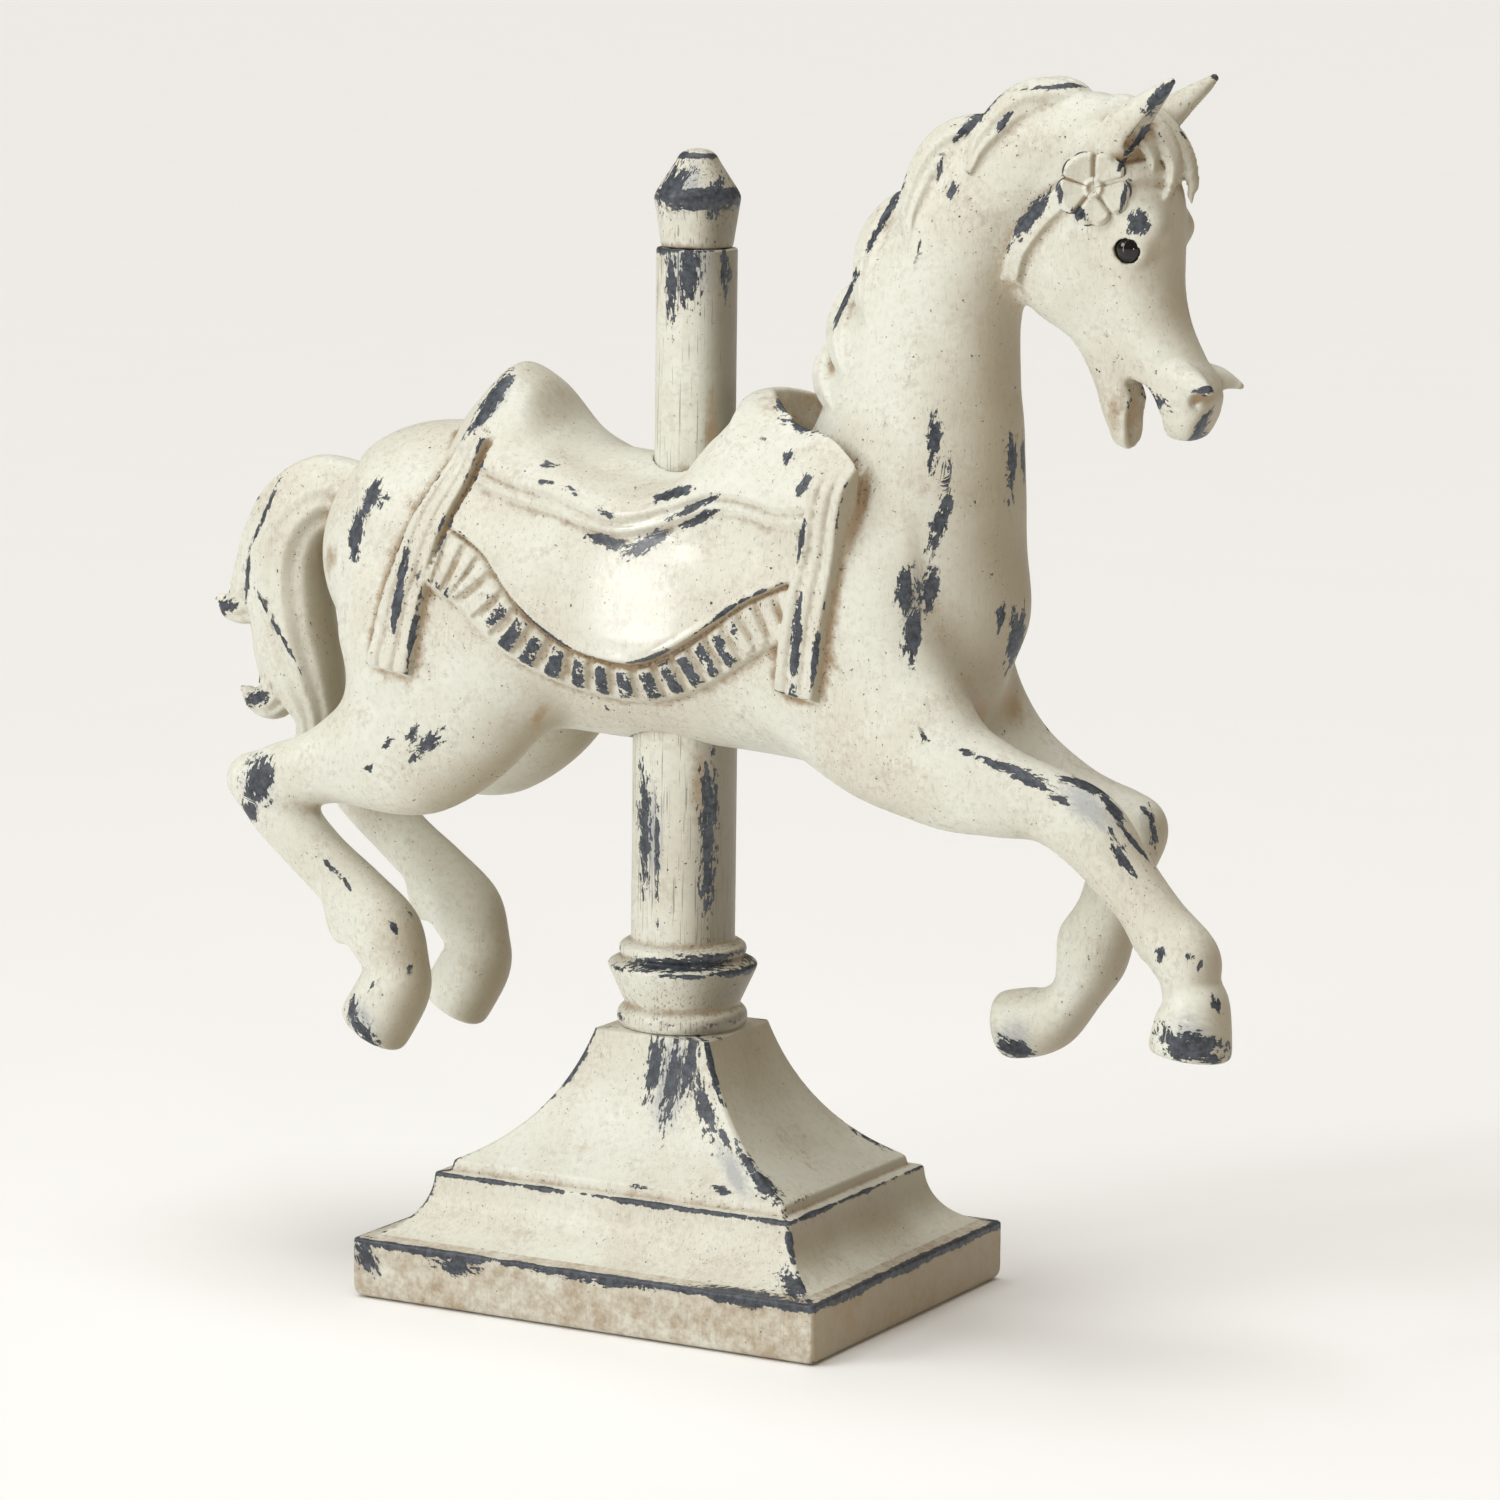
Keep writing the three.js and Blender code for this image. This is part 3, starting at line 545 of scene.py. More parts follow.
def limb(rows, side=1, y=0.0, flat=False, grooves=None, reach=16):
    """Distance field of a limb in its own window of the grid."""
    line = smooth_rows([(*row, 0)[:5] for row in rows])
    size = line[:, 2:4].max(axis=1) + reach
    centre_y = side * (y + line[:, 4])
    low = ((line[:, 0] - size).min(), (centre_y - size).min(), (line[:, 1] - size).min())
    high = ((line[:, 0] + size).max(), (centre_y + size).max(), (line[:, 1] + size).max())
    part = window(low, high)
    gx, gy, gz = (axis[s] for axis, s in zip(axes, part))
    x, z = gx[:, None], gz[None, :]
    place, far, offset = nearest(line, x, z)
    depth = at_rows(line, place, 2)
    width = at_rows(line, place, 3)[:, None, :]
    out = side * (y + at_rows(line, place, 4))[:, None, :]
    a = (far / depth)[:, None, :]
    b = (gy[None, :, None] - out) / width
    k1 = np.sqrt(a * a + b * b)
    k2 = np.sqrt((a / depth[:, None, :]) ** 2 + (b / width) ** 2) + 1e-6
    field = k1 * (k1 - 1) / k2
    if grooves:
        count, deep = grooves
        wave = 0.5 + 0.5 * np.cos(math.pi * count * offset / depth)
        field = field + deep * wave[:, None, :]
    if flat:
        end, before = line[-1], line[-3]
        way = np.array([end[0] - before[0], end[1] - before[1]])
        way /= np.linalg.norm(way)
        beyond = (x - end[0]) * way[0] + (z - end[1]) * way[1]
        field = smooth_max(field, np.broadcast_to(beyond[:, None, :], field.shape), END_BLEND)
    return part, field.astype(np.float32)


def ellipsoid(centre, radii, reach=10):
    """Distance field of a rounded form in its own window of the grid."""
    low = [c - r - reach for c, r in zip(centre, radii)]
    high = [c + r + reach for c, r in zip(centre, radii)]
    part = window(low, high)
    p = [v - c for v, c in zip(grid_in(part), centre)]
    k1 = np.sqrt(sum((v / r) ** 2 for v, r in zip(p, radii)))
    k2 = np.sqrt(sum((v / r**2) ** 2 for v, r in zip(p, radii))) + 1e-6
    return part, (k1 * (k1 - 1) / k2).astype(np.float32)


def on_side(form, side):
    """Distance field of a rounded form on one side of the horse."""
    (x, y, z), radii = form
    return ellipsoid((x, side * y, z), radii)


def smooth_min(a, b, blend):
    h = np.maximum(blend - np.abs(a - b), 0) / blend
    return np.minimum(a, b) - h * h * blend / 4


def smooth_max(a, b, blend):
    return -smooth_min(-a, -b, blend)


def add(field, piece, blend):
    """Joins a piece to the field, blended where they meet."""
    part, values = piece
    field[part] = smooth_min(field[part], values, blend)


def cut(field, piece, blend):
    """Cuts a piece out of the field."""
    part, values = piece
    field[part] = smooth_max(field[part], -values, blend)


def empty_field():
    return np.full([len(a) for a in axes], FAR_AWAY, np.float32)


def body_field():
    """Torso, neck and legs."""
    field = empty_field()
    add(field, limb(TORSO), SMALL_BLEND)
    add(field, limb(NECK), NECK_BLEND)
    add(field, ellipsoid(*BREAST), BREAST_BLEND)
    for side in (-1, 1):
        add(field, on_side(BUTTOCK, side), BUTTOCK_BLEND)
    hind_leg = (
        (HIND_THIGH, LEG_BLEND, False),
        (HIND_SHANK, SHANK_BLEND, True),
        (HIND_TUFT, TUFT_BLEND, True),
    )
    for side, back in ((-1, 0), (1, FAR_HIND_BACK)):
        for rows, blend, flat in hind_leg:
            moved = [(x - back, z - back * FAR_HIND_DROP, *rest) for x, z, *rest in rows]
            add(field, limb(moved, side, LEG_Y, flat=flat), blend)
    add(field, limb(STRETCHED_FORELEG, -1, LEG_Y, flat=True), LEG_BLEND)
    add(field, limb(BENT_FOREARM, 1, LEG_Y), LEG_BLEND)
    add(field, limb(BENT_SHANK, 1, LEG_Y, flat=True), SHANK_BLEND)
    add(field, limb(STRETCHED_TUFT, -1, LEG_Y, flat=True), TUFT_BLEND)
    add(field, limb(BENT_TUFT, 1, LEG_Y, flat=True), TUFT_BLEND)
    return field


def ramp(value, low, high):
    """A smooth step from 0 at low to 1 at high."""
    t = np.clip((value - low) / (high - low), 0, 1)
    return t * t * (3 - 2 * t)


def hump(value, middle, reach):
    """1 at the middle, falling to 0 around it."""
    return np.exp(-(((value - middle) / reach) ** 2))


def humps(value, rows):
    return sum(height * hump(value, middle, reach) for height, middle, reach in rows)


def along_fringe(x, z):
    """For side-view points: height above the flap's edge, depth of the fringe, and a wave with its ribs."""
    edge = smooth_rows(FLAP_EDGE)
    place, far, offset = nearest(edge, x, z)
    steps = np.hypot(np.diff(edge[:, 0]), np.diff(edge[:, 1]))
    run = np.interp(place, np.arange(len(edge)), np.concatenate([[0], np.cumsum(steps)]))
    return offset, at_rows(edge, place, 2), np.abs(np.sin(math.pi * run / RIB_PITCH))


def strap_height(rows, rise, x, z, bands=1, groove=0.0):
    """Height of a strap above the body, over the side view."""
    line = smooth_rows(rows)
    place, far, offset = nearest(line, x, z)
    half = at_rows(line, place, 2)
    ends = np.sqrt(np.maximum(far**2 - offset**2, 0))
    edge = ramp(np.minimum(half - np.abs(offset), 0.8 - ends), -0.5, 1.1)
    across = (offset / half + 1) / 2 * bands
    roll = np.abs(np.sin(math.pi * across)) ** 0.7
    return edge * (rise - groove * (1 - roll))


def relief():
    """Height of the trappings above the horse's sides, over the side view."""
    x, z = axes[0][:, None], axes[2][None, :]
    offset, depth, wave = along_fringe(x, z)
    rear, front = (start + (z - level) * lean for start, level, lean in (FLAP_BACK, FLAP_FRONT))
    between = (x > rear) & (x < front) & (z < FLAP_TOP)
    inside = ramp(offset, *FLAP_EDGE_FADE) * between
    flap = FLAP_RISE * inside
    flap += FLAP_FLARE * ramp(FLARE_LEVEL - z, 0, FLARE_RUN) * inside
    flap += humps(offset, FLAP_BEADS) * between
    hang = ramp(-offset, 0.2, 1.0) * ramp(depth + offset, -0.4, 1.2) * between
    within = ramp(-offset, 1.0, 2.4) * ramp(depth + offset, 1.2, 2.8)
    rib = ramp(wave, 0.25, 0.75)
    fringe = hang * (FRINGE_RISE + RIB_RISE * rib * within)
    rear_strap = strap_height(REAR_STRAP, STRAP_RISE, x, z, STRAP_BANDS, BAND_GROOVE)
    front_strap = strap_height(FRONT_STRAP, FRONT_STRAP_RISE, x, z, STRAP_BANDS, BAND_GROOVE)
    straps = np.maximum(rear_strap, front_strap * ramp(z, *FRONT_STRAP_FADE))
    place, far, offset = nearest(smooth_rows(SEAT_BORDER), x, z)
    flap *= ramp(offset, 14, 2)
    welt = humps(offset, SEAT_WELTS) - humps(offset, SEAT_GROOVES)
    height = np.maximum(np.maximum(flap, fringe) + welt * between * (far < 12), straps)
    bridle = np.maximum(*(strap_height(rows, BRIDLE_RISE, x, z) for rows in (BROWBAND, THROAT_LATCH)))
    return height.astype(np.float32), bridle.astype(np.float32)


def rib_wear(points):
    """1 along the middle of each rib of the fringe, and 0 elsewhere."""
    offset, depth, wave = along_fringe(points[:, 0], points[:, 2])
    x, y, z = points.T
    inside = (np.abs(y) > RIB_WEAR_OUT) * ramp(x, *RIB_WEAR_BACK) * ramp(x, *RIB_WEAR_FRONT)
    down = ramp(-offset, 2, 4) * ramp(depth + offset, 0.5, 2.5)
    return ramp(wave, 0.3, 0.95) * down * inside


def add_head(field):
    part, skull = limb(SKULL)
    x, y, z = grid_in(part)
    front = (x - NOSE_FRONT[0]) * math.cos(NOSE_LEAN) - (z - NOSE_FRONT[1]) * math.sin(NOSE_LEAN)
    skull = smooth_max(skull, np.broadcast_to(front, skull.shape), END_BLEND)
    skull = smooth_max(skull, np.broadcast_to(LIP_BOTTOM - z, skull.shape), LIP_BLEND)
    add(field, (part, skull), HEAD_BLEND)
    add(field, ellipsoid(*CHEEK), HEAD_BLEND)
    add(field, limb(LOWER_JAW), JAW_BLEND)
    for side in (-1, 1):
        add(field, on_side(BROW, side), JAW_BLEND)
        add(field, on_side(EYE_LID, side), WING_BLEND)
        add(field, limb(NOSTRIL_WING, side, WING_Y), WING_BLEND)
    cut(field, limb(MOUTH), MOUTH_BLEND)
    cut(field, ellipsoid(*MOUTH_HOLLOW), MOUTH_HOLLOW_BLEND)


def cut_head(field):
    """Eye sockets and nostrils."""
    for side in (-1, 1):
        cut(field, on_side((EYE, (EYE_SOCKET,) * 3), side), FINE_BLEND)
        cut(field, on_side(NOSTRIL_HOLLOW, side), SMALL_BLEND)
        cut(field, limb(NOSTRIL, side, NOSTRIL_Y), FINE_BLEND)


def lock_on_crest(start, length):
    """Rows of a mane lock that runs down the crest of the neck."""
    line = smooth_rows(NECK)
    rows = []
    for run, lift, depth, width, out in LOCK_ROWS:
        place = np.clip(start - run * length, 0, 1) * (len(line) - 1)
        i = min(int(place), len(line) - 2)
        way = line[i + 1, :2] - line[i, :2]
        way /= np.linalg.norm(way)
        x, z, reach = (np.interp(place, np.arange(len(line)), line[:, k]) for k in (0, 1, 2))
        rows.append((x - way[1] * (reach + lift), z + way[0] * (reach + lift), depth, width, out))
    return rows


def add_hair(field):
    for side in (-1, 1):
        for start, length in MANE_LOCKS:
            add(field, limb(lock_on_crest(start, length), side, grooves=MANE_GROOVES), MANE_BLEND)
    for lock in FORELOCKS:
        add(field, limb(lock, -1, grooves=MANE_GROOVES), FORELOCK_BLEND)
    for lock in TAIL:
        add(field, limb(lock, grooves=TAIL_GROOVES), TAIL_BLEND)


def add_ears(field):
    ahead, above, outwards = EAR_HOLLOW_MOVE
    deep, wide = EAR_HOLLOW_SHARE
    for side in (-1, 1):
        add(field, limb(EAR, side, EAR_Y), EAR_BLEND)
        hollow = [(x + ahead, z + above, a * deep, b * wide, out) for x, z, a, b, out in EAR[1:]]
        cut(field, limb(hollow, side, EAR_Y + outwards), SMALL_BLEND)


def seat_piece():
    """The seat from cantle to pommel, whose rim stands clear of the withers."""
    part, seat = limb(SEAT, reach=24)
    whole = empty_field()
    whole[part] = seat
    for side in (-1, 1):
        add(whole, on_side(SHOULDER, side), BREAST_BLEND)
    x, y, z = grid_in(part)
    rim = np.interp(np.abs(y), RIM_OUT, RIM_X) + RIM_LEAN * (RIM_LEVEL - z)
    rim = smooth_min(rim, SEAT_FRONT - SEAT_FRONT_LEAN * (SEAT_FRONT_LEVEL - z), RIM_BLEND)
    seat = smooth_max(whole[part], x - rim, END_BLEND)
    neck = empty_field()
    add(neck, limb(NECK), SMALL_BLEND)
    hollow = np.interp(np.abs(y), HOLLOW_OUT, HOLLOW)
    return part, smooth_max(seat, hollow - neck[part], WITHERS_BLEND).astype(np.float32)


def soften(field, times):
    """Evens out fine ripples, by averaging each place of the grid with its neighbours."""
    for _ in range(times):
        for axis in range(3):
            kept = np.moveaxis(field, axis, 0)
            kept[1:-1] = 0.5 * kept[1:-1] + 0.25 * (kept[:-2] + kept[2:])


def horse_field():
    field = body_field()
    soften(field, SOFTENING)
    add(field, seat_piece(), SEAT_BLEND)
    add_head(field)
    cloth, bridle = relief()
    sides = ramp(np.abs(axes[1]), CLOTH_START, CLOTH_FULL)
    field -= cloth[:, None, :] * sides[None, :, None]
    field -= bridle[:, None, :]
    add_ears(field)
    add_hair(field)
    cut_head(field)
    cut(field, upright(0, 0, COLUMN_RADIUS + PIECE_GAP, 0, COLUMN_TOP + PIECE_GAP), POLE_BLEND)
    post_hole = upright(POST_X, 0, POST_RADIUS + PIECE_GAP, POST_BOTTOM - PIECE_GAP, GRID_HIGH[2])
    cut(field, post_hole, POLE_BLEND)
    return field


def upright(x, y, radius, low, high, reach=6):
    """Distance field of an upright cylinder."""
    around = radius + reach
    part = window((x - around, y - around, low - reach), (x + around, y + around, high + reach))
    gx, gy, gz = grid_in(part)
    across = np.sqrt((gx - x) ** 2 + (gy - y) ** 2) - radius
    along = np.maximum(low - gz, gz - high)
    return part, np.maximum(across, along).astype(np.float32)


def piece(name, points, faces, node, slot):
    """A smooth mesh piece from points in millimetres."""
    mesh = bpy.data.meshes.new(name)
    mesh.from_pydata((np.asarray(points, float) * MM).tolist(), [], faces)
    mesh.polygons.foreach_set("use_smooth", [True] * len(mesh.polygons))
    mesh.update()
    item = bpy.data.objects.new(name, mesh)
    scene.collection.objects.link(item)
    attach(item, "root")
    if node:
        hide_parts(node)
    return item


def set_values(item, **columns):
    """Named values on the points of a piece, for its material."""
    for name, values in columns.items():
        layer = item.data.attributes.new(name, "FLOAT", "POINT")
        layer.data.foreach_set("value", np.asarray(values, np.float32))


def set_wear(item, points, worn_marks, scuffed_marks, grime_and_shade_marks=(), more_wear=UNWORN, more_grime=UNWORN):
    """Wear, scuffs, and grime with painted shade on the points of a piece; returns its surface for further
    marks.
    """
    tree = BVHTree.FromPolygons(points.tolist(), [tuple(face.vertices) for face in item.data.polygons])
    worn, grain = wear(points, places_of(tree, worn_marks))
    scuff = wear(points, places_of(tree, scuffed_marks))[0]
    grime = wear(points, places_of(tree, grime_and_shade_marks))[0]
    set_values(item, worn=np.maximum(worn, more_wear), scuff=scuff, grime=np.maximum(grime, more_grime))
    layer = item.data.attributes.new("grain", "FLOAT_VECTOR", "POINT")
    layer.data.foreach_set("vector", np.asarray(grain, np.float32).ravel())
    return tree


def places_of(tree, marks):
    """Where marks of the photograph lie on a piece; the far side gets every third one, mirrored."""
    places = []
    for across, down, *size in marks:
        way = camera_turn @ Vector((across - PHOTO_SIZE / 2, PHOTO_SIZE / 2 - down, -FOCAL))
        middle = tree.ray_cast(camera_place / MM, way)[0]
        if middle is not None:
            places.append((np.array(middle), 1, *size))
    return places + [(middle, -1, *size) for middle, side, *size in places[::3]]


def wear(points, places):
    """1 at the middle of a worn place, 0 at its rim, below 0 outside; and places along its own grain."""
    best = np.full(len(points), UNWORN)
    grain = points * MM
    pixel = DISTANCE / FOCAL / MM
    for middle, side, length, width, lean in places:
        lean = math.radians(lean)
        level, rise, deep = ((points * (1, side, 1) - middle) @ np.array(camera_turn)).T
        along = level * math.cos(lean) + rise * math.sin(lean)
        over = rise * math.cos(lean) - level * math.sin(lean)
        shares = (along / length / pixel, over / width / pixel, deep / WORN_DEPTH)
        value = 1 - np.sqrt(sum(share**2 for share in shares))
        nearer = (value > best)[:, None]
        best = np.maximum(best, value)
        own = np.stack([along * GRAIN_STRETCH + middle[0], over + middle[2], deep * side], axis=1) * MM
        grain = np.where(nearer, own, grain)
    return best, grain


def sample(field, points):
    """The field at any points, between the places of the grid."""
    at = (points - np.array(GRID_LOW)) / GRID
    low = np.clip(np.floor(at).astype(int), 0, np.array(field.shape) - 2)
    t = np.clip(at - low, 0, 1)
    total = 0
    for i in (0, 1):
        for j in (0, 1):
            for k in (0, 1):
                share = np.abs(1 - i - t[:, 0]) * np.abs(1 - j - t[:, 1]) * np.abs(1 - k - t[:, 2])
                total = total + share * field[low[:, 0] + i, low[:, 1] + j, low[:, 2] + k]
    return total


def bulge(field, points, radius):
    """How far the surface curves out around each point, in millimetres; hollows are below zero."""
    ways = [(i, j, k) for i in (-1, 0, 1) for j in (-1, 0, 1) for k in (-1, 0, 1) if i or j or k]
    total = 0
    for way in ways:
        total = total + sample(field, points + radius * np.array(way) / np.linalg.norm(way))
    return total / len(ways)


def mesh_from_field(name, field, triangles, node, slot):
    """A piece from the field's zero surface, thinned where it is smooth."""
    grid = openvdb.FloatGrid()
    grid.copyFromArray(field)
    points, corners3, corners4 = grid.convertToPolygons(0.0, 0.0)
    faces = corners3.tolist() + corners4.tolist()
    item = piece(name, points * GRID + np.array(GRID_LOW), faces, node, slot)
    thin = item.modifiers.new("thin", "DECIMATE")
    thin.ratio = triangles / (len(corners3) + 2 * len(corners4))
    ready = bpy.data.meshes.new_from_object(item.evaluated_get(bpy.context.evaluated_depsgraph_get()))
    item.modifiers.clear()
    item.data = ready
    return item


def points_of(item):
    flat = np.empty(3 * len(item.data.vertices), np.float32)
    item.data.vertices.foreach_get("co", flat)
    return flat.reshape(-1, 3).astype(float) / MM


def horse_piece():
    """The horse, with its normals, edges and creases taken from the field itself."""
    field = horse_field()
    item = mesh_from_field("horse_body", field, HORSE_TRIANGLES, "horse", "cream_paint")
    points = points_of(item)
    steps = np.eye(3) * NORMAL_STEP
    rises = [sample(field, points + step) - sample(field, points - step) for step in steps]
    outwards = np.stack(rises, axis=1)
    outwards /= np.linalg.norm(outwards, axis=1)[:, None] + 1e-9
    item.data.normals_split_custom_set_from_vertices(outwards.tolist())
    edge = bulge(field, points, EDGE_REACH) / EDGE_BULGE
    crease = -bulge(field, points, CREASE_REACH) / CREASE_BULGE
    set_values(item, edge=np.clip(edge, 0, 1), crease=np.clip(crease, 0, 1))
    ribs = RIB_WEAR_GAIN * rib_wear(points) + RIB_WEAR_START
    tree = set_wear(item, points, WORN_HORSE, SCUFFED_HORSE, GRIME_AND_SHADE_HORSE, ribs)
    set_values(item, polish=wear(points, places_of(tree, POLISHED))[0])
    return item


def loft(rings):
    """Faces that join rings of equal length, closed over both ends."""
    count = len(rings[0])
    faces = []
    for i in range(len(rings) - 1):
        for j in range(count):
            k = (j + 1) % count
            faces.append((i * count + j, i * count + k, (i + 1) * count + k, (i + 1) * count + j))
    faces.append(tuple(range(count))[::-1])
    faces.append(tuple(range((len(rings) - 1) * count, len(rings) * count)))
    return np.concatenate(rings), faces


def fine_path(corners, step=0.5, soften=3):
    """Points a step apart along a path, with its corners slightly rounded, and the run at each."""
    p = np.array(corners, float)
    run = np.concatenate([[0], np.cumsum(np.linalg.norm(np.diff(p, axis=0), axis=1))])
    fine = np.linspace(0, run[-1], int(run[-1] / step) + 1)
    path = np.stack([np.interp(fine, run, p[:, k]) for k in range(p.shape[1])], axis=1)
    for _ in range(soften):
        path[1:-1] = (path[:-2] + 2 * path[1:-1] + path[2:]) / 4
    return path, fine, run


def base_piece():
    """Rectangular rings up the plinth, the cove, the ledge and the flared spire."""
    corners = PLINTH_FOOT + [(0, PLINTH_TOP)]
    lip = len(corners) - 1
    for i in range(1, COVE_STEPS + 1):
        turn = math.pi / 2 * i / COVE_STEPS
        z = PLINTH_TOP + (COVE_TOP - PLINTH_TOP) * (1 - math.cos(turn))
        corners.append((COVE_INSET * math.sin(turn), z))
    ledge = COVE_INSET + LEDGE_INSET
    corners.append((ledge - 0.6, COVE_TOP + 0.4))
    halves = (BASE_LENGTH / 2, BASE_DEPTH / 2)
    rows = [(*(half - inset for half in halves), z) for inset, z in corners]
    first = len(rows)
    for i in range(SPIRE_STEPS + 1):
        t = i / SPIRE_STEPS
        inwards, upwards = (2 * t * (1 - t) * bend + t * t for bend in SPIRE_BEND)
        sides = (half - ledge + (SPIRE_WIDTH / 2 - half + ledge) * inwards for half in halves)
        rows.append((*sides, SPIRE_FOOT + (SPIRE_TOP - SPIRE_FOOT) * upwards))
    path, fine, run = fine_path(rows, BASE_STEP)
    # Worn arrises: corner, share of wear and reach
    arrises = [(1, 0.35, 2), (lip, 1.5, 3.2), (first - 2, 1.15, 2), (first, 0.6, 2), (len(run) - 1, 0.5, 2)]
    rows_edge = np.max([share * hump(fine, run[i], reach) for i, share, reach in arrises], axis=0)
    rows_crease = 0.45 * hump(fine, run[first - 1], 1.8)
    spread = np.linspace(-1, 1, SIDE_PARTS)
    spread = np.sign(spread) * (1 - (1 - np.abs(spread)) ** SIDE_CROWDING)
    rings, edge, crease = [], [], []
    for (half_x, half_y, z), e, c in zip(path, rows_edge, rows_crease):
        ring, hip = [], []
        corner_wear = PLINTH_CORNER_WEAR if z < CORNER_CHANGE else SPIRE_CORNER_WEAR
        for dx, dy in ((1, 0), (0, 1), (-1, 0), (0, -1)):
            half, other = (half_x, half_y) if dx else (half_y, half_x)
            along = spread * (half - HIP_RADIUS)
            ring += [(dx * a + dy * other, dy * a - dx * other, z) for a in along]
            hip += list(corner_wear * hump(half - np.abs(along), 0, ARRIS_REACH))
        rings.append(np.array(ring))
        edge.append(np.maximum(hip, e))
        crease.append(np.full(len(ring), c))
    points, faces = loft(rings)
    item = piece("base_body", points, faces, "base", "cream_paint")
    set_values(item, edge=np.concatenate(edge), crease=np.concatenate(crease))
    # Grime and painted shade over the whole plinth
    grime = np.where(points[:, 2] < PLINTH_TOP + 1, PLINTH_GRIME_AND_SHADE, UNWORN)
    set_wear(item, points, WORN_BASE, SCUFFED_BASE, more_grime=grime)
    return item


def turned_piece(node, x, foot, outline, arrises, hollows):
    """A turned piece from its outline; its arrises are corners with their share of wear."""
    path, fine, run = fine_path([(r, foot + z) for r, z in outline])
    turn = np.linspace(0, 2 * math.pi, ROUND_PARTS, endpoint=False)
    level = np.ones(ROUND_PARTS)
    rings = [np.stack([x + r * np.cos(turn), r * np.sin(turn), z * level], axis=1) for r, z in path]
    points, faces = loft(rings)
    item = piece(f"{node}_body", points, faces, node, "cream_paint")
    edge = np.max([share * hump(fine, run[i], ARRIS_REACH) for i, share in arrises], axis=0)
    crease = 0.5 * np.max([hump(fine, run[i], ARRIS_REACH) for i in hollows], axis=0)
    set_values(item, edge=np.repeat(edge, ROUND_PARTS), crease=np.repeat(crease, ROUND_PARTS))
    set_wear(item, points, WORN_POLES, SCUFFED_POLES, GRIME_AND_SHADE_POLES)
    return item


def eye_piece(name, side):
    x, y, z = EYE
    turn = np.linspace(0, 2 * math.pi, BEAD_PARTS, endpoint=False)
    rings = []
    for i in range(1, BEAD_RINGS):
        tilt = math.pi * i / BEAD_RINGS
        wide = BEAD_RADIUS * math.sin(tilt)
        out = np.full(BEAD_PARTS, -BEAD_RADIUS * math.cos(tilt))
        ring = [wide * np.cos(turn), out, wide * np.sin(turn)]
        rings.append(np.stack(ring, axis=1) + (x, side * y, z))
    points, faces = loft([ring[::-1] for ring in rings])
    return piece(f"{name}_bead", points, faces, name, "black_bead")


def rosette_piece(name, side):
    """A five-petalled flower with a ringed middle, standing on the bridle."""
    middle, facing = (Vector((x, side * y, z)) for x, y, z in (ROSETTE, ROSETTE_FACING))
    facing.normalize()
    upwards = Vector((0, 0, 1)) - facing * facing.z
    upwards.normalize()
    across = upwards.cross(facing)
    rings = []
    turn = np.linspace(0, 2 * math.pi, ROSETTE_PARTS, endpoint=False)
    petal = (turn * PETALS / (2 * math.pi) - PETAL_TURN) % 1 * 2 - 1
    (round_depth, power), (notch_depth, notch_reach) = PETAL_ROUND, PETAL_NOTCH
    (groove_depth, groove_reach), (vein_depth, vein_reach) = PETAL_GROOVE, PETAL_VEIN
    core_rise, core_radius = BUTTON_CORE
    notch = notch_depth * hump(petal, 0, notch_reach)
    reach = ROSETTE_RADIUS * (1 - round_depth * np.abs(petal) ** power - notch)
    for share in list(np.linspace(0.02, 1, ROSETTE_RINGS)) + [1.0]:
        r = reach * share
        gap = np.minimum(1 - np.abs(petal), 1) * r * math.pi / PETALS
        rim = PETAL_RIM_DROP * np.clip(share - PETAL_RIM_START, 0, 1) / (1 - PETAL_RIM_START)
        h = PETAL_RISE + PETAL_CURL * share**2 - groove_depth * hump(gap, 0, groove_reach) - rim
        h = h - vein_depth * hump(petal, 0, vein_reach) * share
        button = BUTTON_LEVEL + (humps(r, [BUTTON_RING]) + core_rise * (r < core_radius))
        h = np.where(r < BUTTON_END, np.maximum(button, np.where(r < BUTTON_RADIUS, 0, h)), h)
        if len(rings) == ROSETTE_RINGS:
            h = np.full(len(turn), ROSETTE_SKIRT)
        rings.append([
            middle + across * (a * math.cos(t)) + upwards * (a * math.sin(t)) + facing * b
            for a, t, b in zip(r, turn, h)
        ])
    points, faces = loft([np.array([tuple(v) for v in ring]) for ring in rings])
    item = piece(name, points, [f[::-1] for f in faces], None, "cream_paint")
    share = np.repeat(np.linspace(0, 1, len(rings)), ROSETTE_PARTS)
    gap = np.tile(1 - np.abs(petal), len(rings))
    set_values(item, edge=hump(share, 0.95, 0.06), crease=hump(gap, 0, 0.12) * 0.8)
    set_wear(item, points, WORN_ROSETTE, ())
    return item


horse = horse_piece()
base = base_piece()
column, post, finial = (turned_piece(*row) for row in TURNED)
eyes = [eye_piece("eye_right", -1), eye_piece("eye_left", 1)]
flowers = [rosette_piece("rosette_right", -1), rosette_piece("rosette_left", 1)]


